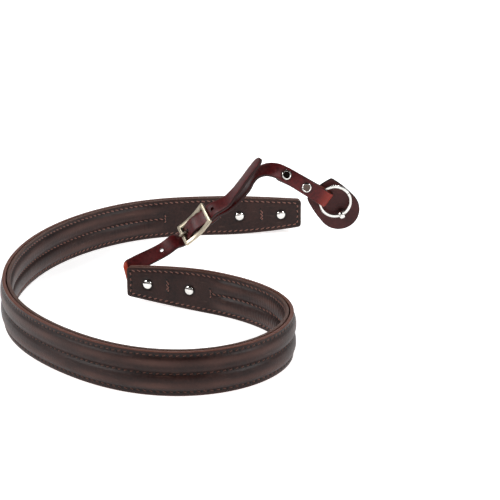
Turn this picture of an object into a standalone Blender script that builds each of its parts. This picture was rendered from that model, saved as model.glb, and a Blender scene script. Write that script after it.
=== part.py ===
"""Leather neck strap: a padded shoulder pad bent into a loop, with a buckled strap at each end.

Metres, +Z up. The pad stands on its lower edge, and the origin is on the floor at the middle of the
whole strap. Side A is the inner side of the loop, side B the outer side.
"""
import math
from collections import namedtuple

import bmesh
import bpy
from mathutils import Matrix, Vector

# Padded shoulder pad
PAD_LENGTH = 0.645
PAD_WIDTH = 0.025
PAD_END_WIDTH = 0.0178
PAD_TAPER = 0.050          # how far from each end the pad begins to narrow
PAD_CORNER = 0.0016        # rounding of the pad's end corners
LEATHER = 0.00225          # one half of the pad at its sewn edge
EDGE_ROUND = 0.0005        # dressed edge of the pad's leather
CHANNEL_SWELL = 0.0013     # how far a padded channel stands out of each face
MARGIN = 0.0030            # flat sewn margin beside each edge
GROOVE = 0.0014            # flat strip between the two channels
NEAR_CHANNEL_END = 0.058   # where the channels stop, from the near end
FAR_CHANNEL_END = 0.092    # the same, from the far end
CHANNEL_FADE = 0.014       # length over which a channel swells up
PAD_STATION = 0.0130       # spacing of the pad's sections

# Narrow straps
STRAP_WIDTH = 0.0091
STRAP = 0.0018             # thickness of the narrow straps
STRAP_EDGE = 0.0004        # dressed edge of the narrow straps
STRAP_ON_PAD = 0.0475      # stretch of the adjuster strap that lies on the pad
STRAP_FREE = 0.105         # adjuster strap from its fold to its tip
FOLD_RADIUS = 0.0021       # middle of the leather in the fold at the pad's end
FOLD_STEPS = 8
STRAP_STATION = 0.0050     # spacing of the adjuster strap's sections
RING_STRAP_STATION = 0.0038
HOLE = 0.0023              # punched hole
HOLE_PITCH = 0.0200
SKIVED = 0.0012            # ring strap where it wraps the buckle's bar
RING_STRAP = 0.0965        # ring strap from the buckle's bar to its fold at the ring
BUCKLE_TAIL = 0.0175       # end turned back under the buckle
RING_TAIL = 0.0345         # end turned back behind the ring

# Buckle
BUCKLE_AT = 0.0483         # middle of the buckle, from the fold at the pad's end
BUCKLE_LENGTH = 0.0230
BUCKLE_WIDTH = 0.0146
BUCKLE_WIRE = 0.0020
BUCKLE_CORNER = 0.0015
BAR = 0.0018               # centre bar
PRONG = 0.0014
STRAP_BULGE = 0.00275      # rise of the strap over the centre bar

# Ring, eye and guard
RING_OUTER = 0.0197
RING_WIRE = 0.0016
RING_PLAY = 0.00042        # play of the ring inside the fold
RING_PAST_FOLD = 0.0031    # ring's centre, past the end of the fold
RING_ACROSS = 0.0016       # ring's centre, across from the middle of the strap
EYE_WIRE = 0.0014
EYE_ANGLE = -29.0          # where the eye holds the ring, from the strap's direction
EYE_FOOT = 0.0050          # flat foot of the eye behind the guard
EYE_FOOT_THICK = 0.0006
GUARD = 0.0018
GUARD_WIDTH = 0.0244
GUARD_LENGTH = 0.0310      # from the crown of its top edge to its round end
GUARD_TOP = 0.0192         # across its two top corners
GUARD_CROWN = 0.0014       # rise of the top edge between the corners
GUARD_ALONG = 0.0025       # guard's middle from the ring's centre, along the strap
GUARD_ACROSS = -0.0031     # the same, across the strap
GUARD_TURN = -13.5         # direction of the guard's round end, from the strap's direction
GUARD_EDGE = 0.0003

# Rivets
RIVET_CAP = 0.0057
RIVET_POST = 0.0024
CAP_HEIGHT = 0.0012
FLAT_CAP_HEIGHT = 0.0008
PAD_RIVETS = (0.0130, 0.0395)    # from the pad's end
RING_RIVETS = (0.0160, 0.0300)   # from the end of the fold at the ring

GAP = 0.0003               # clearance between pieces that touch
BENT_SEAT = 0.00012        # further clearance under a cap where the strap bends

# Where the pad's far end stands before the strap is centred on the origin
FAR_END = Vector((0.0323, 0.0362, 0.0))

Row = namedtuple("Row", "share heading")
Station = namedtuple("Station", "along deep up turn")
Fold = namedtuple("Fold", "past slope sweep lift")   # start past the pad's end, slope and sweep in degrees
Frame = namedtuple("Frame", "at along across out")
Tone = namedtuple("Tone", "color metallic roughness")

# The loop seen from above: heading of the pad against the share of its length, far end first
LOOP = (
    Row(0.00, 190), Row(0.10, 185), Row(0.20, 219), Row(0.30, 248),
    Row(0.40, 273), Row(0.50, 304), Row(0.60, 331), Row(0.70, 386),
    Row(0.78, 437), Row(0.85, 485), Row(0.92, 513), Row(1.00, 522),
)

# Near adjuster strap from its fold: x, y and z from the fold as shares of STRAP_FREE, and the turn
# of its grain side about its run, in degrees from facing the viewer
NEAR_STRAP = (
    Station(0.000, 0.000, 0.000, 0), Station(0.084, 0.009, 0.042, -16), Station(0.141, 0.019, 0.068, -24),
    Station(0.198, 0.033, 0.096, -24), Station(0.256, 0.048, 0.134, -26), Station(0.318, 0.067, 0.163, -36),
    Station(0.385, 0.050, 0.237, -36), Station(0.452, 0.033, 0.311, -36), Station(0.546, 0.016, 0.380, -50),
    Station(0.594, 0.011, 0.438, -62), Station(0.644, 0.011, 0.508, -66), Station(0.699, 0.016, 0.583, -66),
    Station(0.737, 0.021, 0.630, -66),
)

# Far adjuster strap from its fold: the same, with the turn counted from lying flat
FAR_STRAP = (
    Station(0.000, 0.000, 0.000, -90), Station(-0.105, 0.029, -0.018, -82),
    Station(-0.220, 0.058, -0.036, -52), Station(-0.325, 0.081, -0.045, -20),
    Station(-0.385, 0.095, -0.046, 0), Station(-0.443, 0.105, -0.046, 0),
    Station(-0.535, 0.113, -0.043, 0), Station(-0.590, 0.117, -0.032, 0),
    Station(-0.690, 0.119, -0.045, 0), Station(-0.805, 0.116, -0.073, 0),
    Station(-0.918, 0.104, -0.075, 0), Station(-0.985, 0.095, -0.066, 0),
)

# Near ring strap from the buckle's middle, as shares of RING_STRAP
NEAR_RING_STRAP = (
    Station(0.178, -0.004, 0.120, -44), Station(0.226, 0.000, 0.152, -54), Station(0.268, 0.000, 0.194, -62),
    Station(0.303, 0.000, 0.237, -64), Station(0.327, -0.001, 0.284, -64), Station(0.361, -0.003, 0.326, -60),
    Station(0.416, -0.006, 0.354, -42), Station(0.476, -0.008, 0.351, -24), Station(0.536, -0.008, 0.323, -9),
    Station(0.599, -0.008, 0.286, 3), Station(0.659, -0.008, 0.247, 11), Station(0.723, -0.008, 0.206, 15),
    Station(0.775, -0.008, 0.170, 17),
)

# Far ring strap from the buckle's middle, as shares of RING_STRAP
FAR_RING_STRAP = (
    Station(-0.239, 0.008, -0.035, 0), Station(-0.335, -0.004, -0.055, 0), Station(-0.452, -0.034, -0.059, 0),
    Station(-0.533, -0.067, -0.052, 0), Station(-0.619, -0.113, -0.031, 0), Station(-0.712, -0.182, -0.015, 0),
    Station(-0.797, -0.268, 0.006, 0), Station(-0.845, -0.330, 0.014, 0),
)

VIEW_TILT = math.radians(20)                # a viewer in front looks down at this angle
NEAR_TURN_FROM = Vector((0.0, -math.cos(VIEW_TILT), math.sin(VIEW_TILT)))   # near grain side at turn 0
FAR_TURN_FROM = Vector((0.0, 0.0, 1.0))     # far grain side at turn 0
NEAR_FOLD = Fold(0.0004, 29.0, 160.0, 0.0040)
FAR_FOLD = Fold(-0.0030, 10.0, 176.0, 0.0)

TONES = {
    "pad_leather": Tone((0.050, 0.030, 0.026), 0.0, 0.48),
    "strap_leather": Tone((0.075, 0.012, 0.014), 0.0, 0.36),
    "guard_leather": Tone((0.070, 0.020, 0.020), 0.0, 0.45),
    "nickel": Tone((0.70, 0.68, 0.63), 1.0, 0.22),
    "bright_nickel": Tone((0.80, 0.80, 0.80), 1.0, 0.14),
}


def material(name):
    """One Principled material, made at its first use."""
    found = bpy.data.materials.get(name)
    if found:
        return found
    tone = TONES[name]
    made = bpy.data.materials.new(name)
    made.use_nodes = True
    shader = made.node_tree.nodes["Principled BSDF"]
    shader.inputs["Base Color"].default_value = (*tone.color, 1.0)
    shader.inputs["Metallic"].default_value = tone.metallic
    shader.inputs["Roughness"].default_value = tone.roughness
    return made


def new_object(name, mesh_data, tone):
    """Turn a bmesh into a named object with its material."""
    bmesh.ops.recalc_face_normals(mesh_data, faces=mesh_data.faces)
    if mesh_data.calc_volume(signed=True) < 0:
        bmesh.ops.reverse_faces(mesh_data, faces=mesh_data.faces)
    mesh = bpy.data.meshes.new(name)
    mesh_data.to_mesh(mesh)
    mesh_data.free()
    mesh.shade_smooth()
    mesh.set_sharp_from_angle(angle=math.radians(40))
    made = bpy.data.objects.new(name, mesh)
    bpy.context.scene.collection.objects.link(made)
    if tone:
        mesh.materials.append(material(tone))
    return made


def skin(name, rings, tone, closed=False):
    """Join rings of points into one closed body, capped unless its run is closed."""
    made = bmesh.new()
    loops = [[made.verts.new(point) for point in ring] for ring in rings]
    pairs = list(zip(loops, loops[1:]))
    if closed:
        pairs.append((loops[-1], loops[0]))
    for one, two in pairs:
        for index in range(len(one)):
            after = (index + 1) % len(one)
            made.faces.new((one[index], one[after], two[after], two[index]))
    if not closed:
        made.faces.new(loops[0])
        made.faces.new(loops[-1])
    return new_object(name, made, tone)


def turned(name, profile, place, tone, sides=12):
    """Turn a profile of (radius, height) about the local Z axis; both ends are on the axis."""
    made = bmesh.new()
    poles = [made.verts.new((0.0, 0.0, profile[0][1])), made.verts.new((0.0, 0.0, profile[-1][1]))]
    rings = []
    for radius, height in profile[1:-1]:
        turns = [2 * math.pi * side / sides for side in range(sides)]
        rings.append([made.verts.new((radius * math.cos(a), radius * math.sin(a), height)) for a in turns])
    for one, two in zip(rings, rings[1:]):
        for side in range(sides):
            after = (side + 1) % sides
            made.faces.new((one[side], one[after], two[after], two[side]))
    for pole, ring in ((poles[0], rings[0]), (poles[1], rings[-1])):
        for side in range(sides):
            made.faces.new((pole, ring[side], ring[(side + 1) % sides]))
    made.transform(place)
    return new_object(name, made, tone)


def cut(target, cutter, operation="DIFFERENCE"):
    """Cut or join a helper shape into a piece."""
    cutter.hide_render = True
    cutter.display_type = "WIRE"
    step = target.modifiers.new(cutter.name, "BOOLEAN")
    step.operation = operation
    step.solver = "EXACT"
    step.object = cutter


def basis(frame):
    """Matrix whose axes are the frame's along, across and out."""
    made = Matrix((frame.along, frame.across, frame.out)).transposed().to_4x4()
    made.translation = frame.at
    return made


def rod_between(name, start, end, diameter, tone=None, sides=10):
    """Plain cylinder between two points."""
    axis = end - start
    place = Matrix.Translation(start) @ axis.to_track_quat("Z", "Y").to_matrix().to_4x4()
    radius = diameter / 2
    profile = ((0.0, 0.0), (radius, 0.0), (radius, axis.length), (0.0, axis.length))
    return turned(name, profile, place, tone, sides)


def smooth(low, high, value):
    """0 below low, 1 above high, smooth between."""
    share = min(max((value - low) / (high - low), 0.0), 1.0)
    return share * share * (3 - 2 * share)


def slope_at(xs, ys, index):
    """Slope at a point: of its one span at either end, else of both spans, the shorter counting more."""
    spans = [one for one in (index - 1, index) if 0 <= one < len(xs) - 1]
    slopes = [(ys[one + 1] - ys[one]) / (xs[one + 1] - xs[one]) for one in spans]
    if len(spans) == 1:
        return slopes[0]
    before = xs[index] - xs[index - 1]
    after = xs[index + 1] - xs[index]
    return (slopes[0] * after + slopes[1] * before) / (before + after)


def smooth_through(xs, ys, x):
    """Smooth curve through points; ys may be numbers or vectors."""
    index = 0
    while index < len(xs) - 2 and x > xs[index + 1]:
        index += 1
    span = xs[index + 1] - xs[index]
    share = (x - xs[index]) / span
    start = slope_at(xs, ys, index) * span
    end = slope_at(xs, ys, index + 1) * span
    rise = ys[index + 1] - ys[index]
    bend = share * share * (3 - 2 * share)
    ease_in = share * (1 - share) * (1 - share)
    ease_out = share * share * (1 - share)
    return ys[index] + rise * bend + start * ease_in - end * ease_out


LOOP_STEPS = 640


def walk_loop():
    """Centre line of the pad on the floor: one point and heading for each step of its length."""
    shares = [row.share for row in LOOP]
    headings = [math.radians(row.heading) for row in LOOP]
    step = PAD_LENGTH / LOOP_STEPS
    points = [FAR_END.copy()]
    for index in range(LOOP_STEPS):
        heading = smooth_through(shares, headings, (index + 0.5) / LOOP_STEPS)
        points.append(points[-1] + Vector((math.cos(heading), math.sin(heading), 0.0)) * step)
    return points


LOOP_POINTS = walk_loop()


def pad_frame(distance):
    """Frame at a distance from the far end: along the pad, up, and out of side B."""
    place = min(max(distance / PAD_LENGTH, 0.0), 1.0) * LOOP_STEPS
    index = min(int(place), LOOP_STEPS - 1)
    at = LOOP_POINTS[index].lerp(LOOP_POINTS[index + 1], place - index)
    shares = [row.share for row in LOOP]
    headings = [math.radians(row.heading) for row in LOOP]
    heading = smooth_through(shares, headings, min(max(distance / PAD_LENGTH, 0.0), 1.0))
    along = Vector((math.cos(heading), math.sin(heading), 0.0))
    out = Vector((math.sin(heading), -math.cos(heading), 0.0))
    up = Vector((0.0, 0.0, 1.0))
    return Frame(at + up * PAD_WIDTH / 2, along, up, out)


def pad_width(distance):
    """Width of the pad, narrowed towards both ends and rounded at its corners."""
    to_end = min(distance, PAD_LENGTH - distance)
    narrowing = max(1 - to_end / PAD_TAPER, 0.0) ** 1.6
    width = PAD_WIDTH - (PAD_WIDTH - PAD_END_WIDTH) * narrowing
    if to_end < PAD_CORNER:
        drop = PAD_CORNER - to_end
        width -= 2 * (PAD_CORNER - math.sqrt(PAD_CORNER ** 2 - drop ** 2))
    return width


def pad_swell(distance):
    """Share of the full swell of the channels at a distance from the far end."""
    from_far = smooth(FAR_CHANNEL_END - CHANNEL_FADE / 2, FAR_CHANNEL_END + CHANNEL_FADE / 2, distance)
    to_near = PAD_LENGTH - distance
    from_near = smooth(NEAR_CHANNEL_END - CHANNEL_FADE / 2, NEAR_CHANNEL_END + CHANNEL_FADE / 2, to_near)
    return from_far * from_near


CHANNEL_SHAPE = ((0.15, 0.62), (0.5, 1.0), (0.85, 0.62))   # place in the channel, share of the swell


def pad_section(width, swell):
    """Half of the pad's section as (height, depth): flat inside, two channels outside."""
    edge = width / 2
    inner = edge - MARGIN
    channel = inner - GROOVE / 2
    outer_side = [(edge, LEATHER - EDGE_ROUND), (edge - EDGE_ROUND, LEATHER), (inner, LEATHER)]
    for place, share in CHANNEL_SHAPE:
        outer_side.append((inner - channel * place, LEATHER + CHANNEL_SWELL * swell * share))
    outer_side.append((GROOVE / 2, LEATHER))
    mirrored = [(-height, depth) for height, depth in reversed(outer_side)]
    return [(edge, 0.0)] + outer_side + mirrored + [(-edge, 0.0)]


def pad_stations():
    """Distances from the far end: close together at the corners, then evenly spaced."""
    count = round((PAD_LENGTH - 2 * PAD_CORNER) / PAD_STATION)
    even = [PAD_CORNER + (PAD_LENGTH - 2 * PAD_CORNER) * index / count for index in range(count + 1)]
    corner = [0.0, PAD_CORNER * 0.3]
    return corner + even + [PAD_LENGTH - distance for distance in reversed(corner)]


def pad_half(name, side):
    """One leather half of the pad; side is 1 on the outer side of the loop and -1 on the inner."""
    rings = []
    for distance in pad_stations():
        frame = pad_frame(distance)
        section = pad_section(pad_width(distance), pad_swell(distance))
        depths = [(height, side * (GAP / 2 + depth)) for height, depth in section]
        rings.append([frame.at + frame.across * height + frame.out * depth for height, depth in depths])
    return skin(name, rings, "pad_leather")


def strap_section(width, thick):
    """Section of a narrow strap as (across, out), its grain side with dressed edges."""
    edge = min(STRAP_EDGE, thick * 0.3, width * 0.3)
    w = width / 2
    t = thick / 2
    return [(w, -t), (w, t - edge), (w - edge, t), (-w + edge, t), (-w, t - edge), (-w, -t)]


def strap_body(name, points, outs, widths, thicks, tone, slants=None):
    """Narrow strap along points, its grain side facing outs; slants are the crossings of a slanted fold."""
    rings = []
    for index, point in enumerate(points):
        frame = frame_of(points, outs, index)
        across, out = frame.across, frame.out
        if slants and slants[index]:
            across, out = slants[index], outs[index]
        section = strap_section(widths[index], thicks[index])
        rings.append([point + across * w + out * g for w, g in section])
    return skin(name, rings, tone)


def frame_of(points, outs, index):
    """Frame at one point of a strap, squared up to its run."""
    before = points[max(index - 1, 0)]
    after = points[min(index + 1, len(points) - 1)]
    along = (after - before).normalized()
    out = (outs[index] - along * outs[index].dot(along)).normalized()
    return Frame(points[index], along, out.cross(along), out)


def round_end(distance, width=STRAP_WIDTH):
    """Width of a strap at a distance from its round end."""
    radius = width / 2
    if distance >= radius:
        return width
    return 2 * math.sqrt(max(radius ** 2 - (radius - distance) ** 2, (radius * 0.12) ** 2))


class Run:
    """Smooth run of a strap through stations, sampled by distance from its start."""

    def __init__(self, points, turns, turn_from):
        self.turn_from = turn_from
        self.points = points
        lengths = [0.0]
        for one, two in zip(points, points[1:]):
            lengths.append(lengths[-1] + (two - one).length)
        self.keys = lengths
        self.turns = [math.radians(turn) for turn in turns]
        self.length = lengths[-1]

    def at(self, distance):
        distance = min(max(distance, 0.0), self.length)
        return smooth_through(self.keys, self.points, distance)

    def frame(self, distance):
        """Frame at a distance: its out side is turned about the run from turn_from."""
        step = 0.0004
        ahead = self.at(min(distance + step, self.length))
        behind = self.at(max(distance - step, 0.0))
        along = (ahead - behind).normalized()
        flat = (self.turn_from - along * self.turn_from.dot(along)).normalized()
        turn = smooth_through(self.keys, self.turns, min(max(distance, 0.0), self.length))
        out = Matrix.Rotation(turn, 3, along) @ flat
        return Frame(self.at(distance), along, out.cross(along), out)


def spread(start, end, spacing):
    """Evenly spaced distances from start to end."""
    count = max(round(abs(end - start) / spacing), 1)
    return [start + (end - start) * index / count for index in range(count + 1)]


def bulge(distance):
    """Rise of the adjuster strap over the centre bar, at a distance from the buckle's middle."""
    reach = BUCKLE_LENGTH / 2 - BUCKLE_WIRE / 2
    if abs(distance) >= reach:
        return 0.0
    return STRAP_BULGE * (1 + math.cos(math.pi * distance / reach)) / 2


BAR_DEPTH = STRAP_BULGE - STRAP / 2 - 3 * GAP - SKIVED - BAR / 2            # centre bar, below the run
WRAP_RADIUS = BAR / 2 + 1.5 * GAP + SKIVED / 2                              # skived leather on the bar


class End:
    """One end of the strap: everything that hangs on one end of the pad."""

    def __init__(self, name, pad_end, facing, strap_table, ring_table, turn_from, fold):
        self.name = name
        self.pad_end = pad_end      # distance of this end along the pad
        self.facing = facing        # 1 where the pad's run leads out of this end, else -1
        self.fold = fold
        self.turn_from = turn_from
        self.build_strap_run(strap_table)
        self.build_ring_run(ring_table)

    def on_pad(self, inwards, depth):
        """Frame on the pad, a distance inwards from its end and a depth out of side B."""
        frame = pad_frame(self.pad_end - self.facing * inwards)
        along = frame.along * self.facing
        return Frame(frame.at + frame.out * depth, along, frame.out.cross(along), frame.out)

    def fold_points(self):
        """Slanted fold at the pad's end, rolled on a cylinder that leans by half the slope."""
        sweep = math.radians(self.fold.sweep)
        lean = math.radians(self.fold.slope) / 2
        start = self.on_pad(0.0, STRAP_DEPTH)
        begin = start.at + start.along * self.fold.past
        axis = start.across * math.cos(lean) + start.along * math.sin(lean)
        forward = start.along * math.cos(lean) - start.across * math.sin(lean)
        centre = begin + start.out * FOLD_RADIUS
        points, outs = [], []
        for step in range(FOLD_STEPS + 1):
            turn = sweep * step / FOLD_STEPS
            radial = forward * math.sin(turn) - start.out * math.cos(turn)
            climb = axis * (FOLD_RADIUS * math.tan(lean) * turn + self.fold.lift * smooth(0, sweep, turn))
            points.append(centre + radial * FOLD_RADIUS + climb)
            outs.append(-radial)
        return points, outs, axis / math.cos(lean)

    def build_strap_run(self, table):
        self.fold_run = self.fold_points()
        points, outs, _ = self.fold_run
        stations = [Vector(row[:3]) for row in table]
        size = STRAP_FREE / sum((two - one).length for one, two in zip(stations, stations[1:]))
        stations = [points[-1] + station * size for station in stations]
        along = (points[-1] - points[-2]).normalized()
        leaving = self.turn_of(Frame(points[-1], along, outs[-1].cross(along), outs[-1]))
        drawn = Run(stations, [leaving] + [row.turn for row in table[1:]], self.turn_from)
        self.buckle = drawn.frame(BUCKLE_AT)
        self.strap_run = self.straightened(drawn)

    def straightened(self, drawn):
        """The drawn run with a straight, untwisted stretch through the buckle."""
        half = BUCKLE_LENGTH / 2
        places = [share * half for share in (-1.12, -0.9, 0.0, 0.9, 1.12)]
        clear = 1.5 * half
        before = [index for index, key in enumerate(drawn.keys) if key < BUCKLE_AT - clear]
        after = [index for index, key in enumerate(drawn.keys) if key > BUCKLE_AT + clear]
        points = [drawn.points[index] for index in before]
        points += [self.buckle.at + self.buckle.along * place for place in places]
        points += [drawn.points[index] for index in after]
        turns = [math.degrees(drawn.turns[index]) for index in before]
        turns += [self.turn_of(self.buckle)] * len(places)
        turns += [math.degrees(drawn.turns[index]) for index in after]
        return Run(points, turns, self.turn_from)

    def in_buckle(self, along, across, out):
        """Point in the buckle's own frame."""
        frame = self.buckle
        return frame.at + frame.along * along + frame.across * across + frame.out * out

    def ring_strap_depth(self, distance):
        """Middle of the ring strap in the buckle: under the adjuster strap, on the bar at 0."""
        thick = self.ring_strap_thick(distance)
        clear = (STRAP + thick) / 2 + GAP + 0.00035 * math.sin(math.pi * min(distance / 0.0095, 1.0))
        return bulge(distance) - clear - GAP

    @staticmethod
    def ring_strap_thick(distance):
        """Skived on the bar, full thickness further on."""
        return SKIVED + (STRAP - SKIVED) * smooth(0.004, 0.014, distance)

    def build_ring_run(self, table):
        start = [0.0, 0.0030, 0.0062, 0.0095, 0.0118]
        points = [self.in_buckle(place, 0.0, self.ring_strap_depth(place)) for place in start]
        points[0] = self.in_buckle(0.0, 0.0, BAR_DEPTH + WRAP_RADIUS)
        turn = self.turn_of(self.buckle)
        turns = [turn] * len(start)
        for row in table:
            points.append(self.buckle.at + Vector(row[:3]) * RING_STRAP)
            turns.append(row.turn)
        self.ring_run = Run(points, turns, self.turn_from)

    def turn_of(self, frame):
        """Turn of a frame's out side about its run, in degrees from turn_from."""
        along = frame.along
        flat = (self.turn_from - along * self.turn_from.dot(along)).normalized()
        return math.degrees(math.atan2(frame.out.dot(along.cross(flat)), frame.out.dot(flat)))

    def ring_frame(self):
        """Frame of the ring's plane at the middle of the fold."""
        end = self.ring_run.frame(self.ring_run.length)
        return Frame(end.at - end.out * LOOP_RADIUS, end.along, end.across, end.out)

    def ring_centre(self):
        ring = self.ring_frame()
        return ring.at + ring.along * RING_AHEAD + ring.across * RING_ACROSS


STRAP_DEPTH = GAP / 2 + LEATHER + GAP + STRAP / 2          # adjuster strap's middle, from the pad's middle
LOOP_RADIUS = RING_WIRE / 2 + RING_PLAY + STRAP / 2        # ring strap's middle in its fold at the ring
RING_RADIUS = (RING_OUTER - RING_WIRE) / 2                 # middle of the ring's wire
RING_AHEAD = LOOP_RADIUS + STRAP / 2 + RING_PAST_FOLD      # ring's centre from the middle of the fold


def adjuster_strap(end):
    """Strap riveted on the pad, folded at its end and led through the buckle to its tip."""
    points, outs, widths = [], [], []
    on_pad = [STRAP_ON_PAD * share for share in (1.0, 0.985, 0.95, 0.9, 0.7, 0.5, 0.3, 0.14)]
    for inwards in on_pad:
        frame = end.on_pad(inwards, STRAP_DEPTH)
        points.append(frame.at)
        outs.append(frame.out)
        widths.append(round_end(STRAP_ON_PAD - inwards))
    slants = [None] * len(points)
    fold_points, fold_outs, slant = end.fold_run
    points += fold_points
    outs += fold_outs
    widths += [STRAP_WIDTH] * len(fold_points)
    slants += [slant] * len(fold_points)
    length = end.strap_run.length
    buckle_reach = BUCKLE_LENGTH / 2 + BUCKLE_WIRE / 2
    places = spread(0.0, BUCKLE_AT - buckle_reach, STRAP_STATION)[1:]
    places += spread(BUCKLE_AT - buckle_reach, BUCKLE_AT + buckle_reach, STRAP_STATION / 2)[1:]
    places += spread(BUCKLE_AT + buckle_reach, length - STRAP_WIDTH / 2, STRAP_STATION)[1:]
    places += [length - STRAP_WIDTH * share for share in (0.30, 0.12, 0.03, 0.0)]
    for place in places:
        frame = end.strap_run.frame(place)
        points.append(frame.at + frame.out * bulge(place - BUCKLE_AT))
        outs.append(frame.out)
        widths.append(round_end(length - place))
    slants += [None] * len(places)
    thicks = [STRAP] * len(points)
    strap = strap_body(end.name + "_adjuster_strap", points, outs, widths, thicks, "strap_leather", slants)
    for place in hole_places(length):
        frame = end.strap_run.frame(place)
        reach = frame.out * STRAP * 2
        cut(strap, rod_between(f"{end.name}_hole_{round(place * 1000)}", frame.at - reach, frame.at + reach, HOLE))
    cut(strap, prong_slot(end))
    for inwards in PAD_RIVETS:
        frame = end.on_pad(inwards, STRAP_DEPTH)
        cut(strap, post_hole(f"{end.name}_strap_hole_{round(inwards * 1000)}", frame, STRAP * 2))
    return strap


PRONG_HOLE = -0.0066       # hole that the prong comes up through, from the buckle's middle
PRONG_SLOT = 0.0034        # that hole, pulled long by the prong


def hole_places(length):
    """Distances of the free punched holes, one pitch apart from the prong's hole."""
    first = BUCKLE_AT + PRONG_HOLE
    return [first - HOLE_PITCH, first + HOLE_PITCH]


def prong_slot(end):
    """Long hole for the prong: a cutter that stands square to the strap at the prong's crossing."""
    middle = end.in_buckle(PRONG_HOLE, 0.0, bulge(PRONG_HOLE))
    frame = end.buckle
    made = bmesh.new()
    loops = []
    half = (PRONG_SLOT - HOLE) / 2
    sides = 12
    for reach in (-STRAP * 2.2, STRAP * 2.2):
        ring = []
        for side in range(sides):
            turn = 2 * math.pi * (side + 0.5) / sides
            shift = half if math.cos(turn) > 0 else -half
            along = shift + HOLE / 2 * math.cos(turn)
            across = HOLE / 2 * math.sin(turn)
            ring.append(made.verts.new(middle + frame.along * along + frame.across * across + frame.out * reach))
        loops.append(ring)
    for side in range(sides):
        after = (side + 1) % sides
        made.faces.new((loops[0][side], loops[0][after], loops[1][after], loops[1][side]))
    made.faces.new(loops[0])
    made.faces.new(loops[1])
    return new_object(end.name + "_prong_slot", made, None)


def post_hole(name, frame, reach):
    """Cutter for a rivet's post, square to the frame's out side."""
    return rod_between(name, frame.at - frame.out * reach, frame.at + frame.out * reach, RIVET_POST + 2 * GAP)


def rivet(name, frame, below, above, flat_below=False):
    """Rivet along the frame's out side: a cap below, a post and a cap above, between two faces."""
    cap = RIVET_CAP / 2
    post = RIVET_POST / 2
    foot = FLAT_CAP_HEIGHT if flat_below else CAP_HEIGHT
    low = -below - GAP
    high = above + GAP
    profile = [(0.0, low - foot), (cap * 0.62, low - foot * 0.84), (cap, low - foot * 0.25), (cap, low),
               (post, low), (post, high), (cap, high), (cap, high + FLAT_CAP_HEIGHT * 0.25),
               (cap * 0.62, high + FLAT_CAP_HEIGHT * 0.84), (0.0, high + FLAT_CAP_HEIGHT)]
    place = basis(Frame(frame.at, frame.along, frame.out.cross(frame.along), frame.out))
    return turned(name, profile, place, "bright_nickel", sides=10)


def tube_along(name, points, normals, wide, high, tone, closed=False, sides=6):
    """Round or oval wire along points, with the given normal for its height."""
    rings = []
    count = len(points)
    for index, point in enumerate(points):
        before = points[index - 1] if (closed or index) else point
        after = points[(index + 1) % count] if (closed or index < count - 1) else point
        along = (after - before).normalized()
        up = (normals[index] - along * normals[index].dot(along)).normalized()
        side = up.cross(along)
        ring = []
        for corner in range(sides):
            turn = 2 * math.pi * (corner + 0.5) / sides
            ring.append(point + side * math.cos(turn) * wide / 2 + up * math.sin(turn) * high / 2)
        rings.append(ring)
    return skin(name, rings, tone, closed)


END_BAR_DEPTH = STRAP / 2 + GAP + BUCKLE_WIRE / 2          # end bars lie on the strap
RAIL_DEPTH = BAR_DEPTH + BAR / 2 + BUCKLE_WIRE * 0.2       # middle of the side rails, over the bar


def buckle_frame(end):
    """Rectangular frame with round corners, its side rails dipping to the centre bar."""
    half_length = (BUCKLE_LENGTH - BUCKLE_WIRE) / 2
    half_width = (BUCKLE_WIDTH - BUCKLE_WIRE) / 2
    corner_steps = 3
    outline = []
    for quarter, (sign_l, sign_w) in enumerate(((1, 1), (-1, 1), (-1, -1), (1, -1))):
        centre_l = sign_l * (half_length - BUCKLE_CORNER)
        centre_w = sign_w * (half_width - BUCKLE_CORNER)
        for step in range(corner_steps + 1):
            turn = math.pi / 2 * (quarter + step / corner_steps)
            outline.append((centre_l + BUCKLE_CORNER * math.cos(turn), centre_w + BUCKLE_CORNER * math.sin(turn)))
        if quarter in (0, 2):
            for share in (0.5, 0.0, -0.5):
                outline.append((share * sign_l * half_length, sign_w * half_width))
    points = []
    for length, width in outline:
        dip = (length / half_length) ** 2
        points.append(end.in_buckle(length, width, RAIL_DEPTH + (END_BAR_DEPTH - RAIL_DEPTH) * dip))
    normals = [end.buckle.out] * len(points)
    name = end.name + "_buckle_frame"
    frame = tube_along(name, points, normals, BUCKLE_WIRE, BUCKLE_WIRE, "nickel", closed=True)
    bar_start = end.in_buckle(0.0, -half_width, BAR_DEPTH)
    bar_end = end.in_buckle(0.0, half_width, BAR_DEPTH)
    cut(frame, rod_between(end.name + "_centre_bar", bar_start, bar_end, BAR), "UNION")
    return frame


def buckle_prong(end):
    """Prong: an open eye round the bar, under the strap, up through its hole and onto the end bar."""
    eye = BAR / 2 + GAP + PRONG / 2
    path = []
    for turn in (150, 110, 70, 30, -10, -50, -90, -130, -165):
        angle = math.radians(turn)
        path.append((eye * math.cos(angle), BAR_DEPTH + eye * math.sin(angle)))
    over_bar = END_BAR_DEPTH + BUCKLE_WIRE / 2 + GAP + PRONG / 2
    bar_place = -(BUCKLE_LENGTH - BUCKLE_WIRE) / 2
    under = -STRAP / 2 - GAP - PRONG / 2
    path += [(-0.0036, under * 0.98), (-0.0050, under * 0.75), (PRONG_HOLE + 0.0006, under * 0.1),
             (PRONG_HOLE - 0.0003, over_bar * 0.40), (PRONG_HOLE - 0.0011, over_bar * 0.78),
             (bar_place + 0.0010, over_bar * 0.97), (bar_place, over_bar), (bar_place - 0.0016, over_bar * 0.93)]
    points = [end.in_buckle(along, 0.0, out) for along, out in path]
    normals = [end.buckle.across] * len(points)
    return tube_along(end.name + "_buckle_prong", points, normals, PRONG, PRONG, "nickel")


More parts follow.
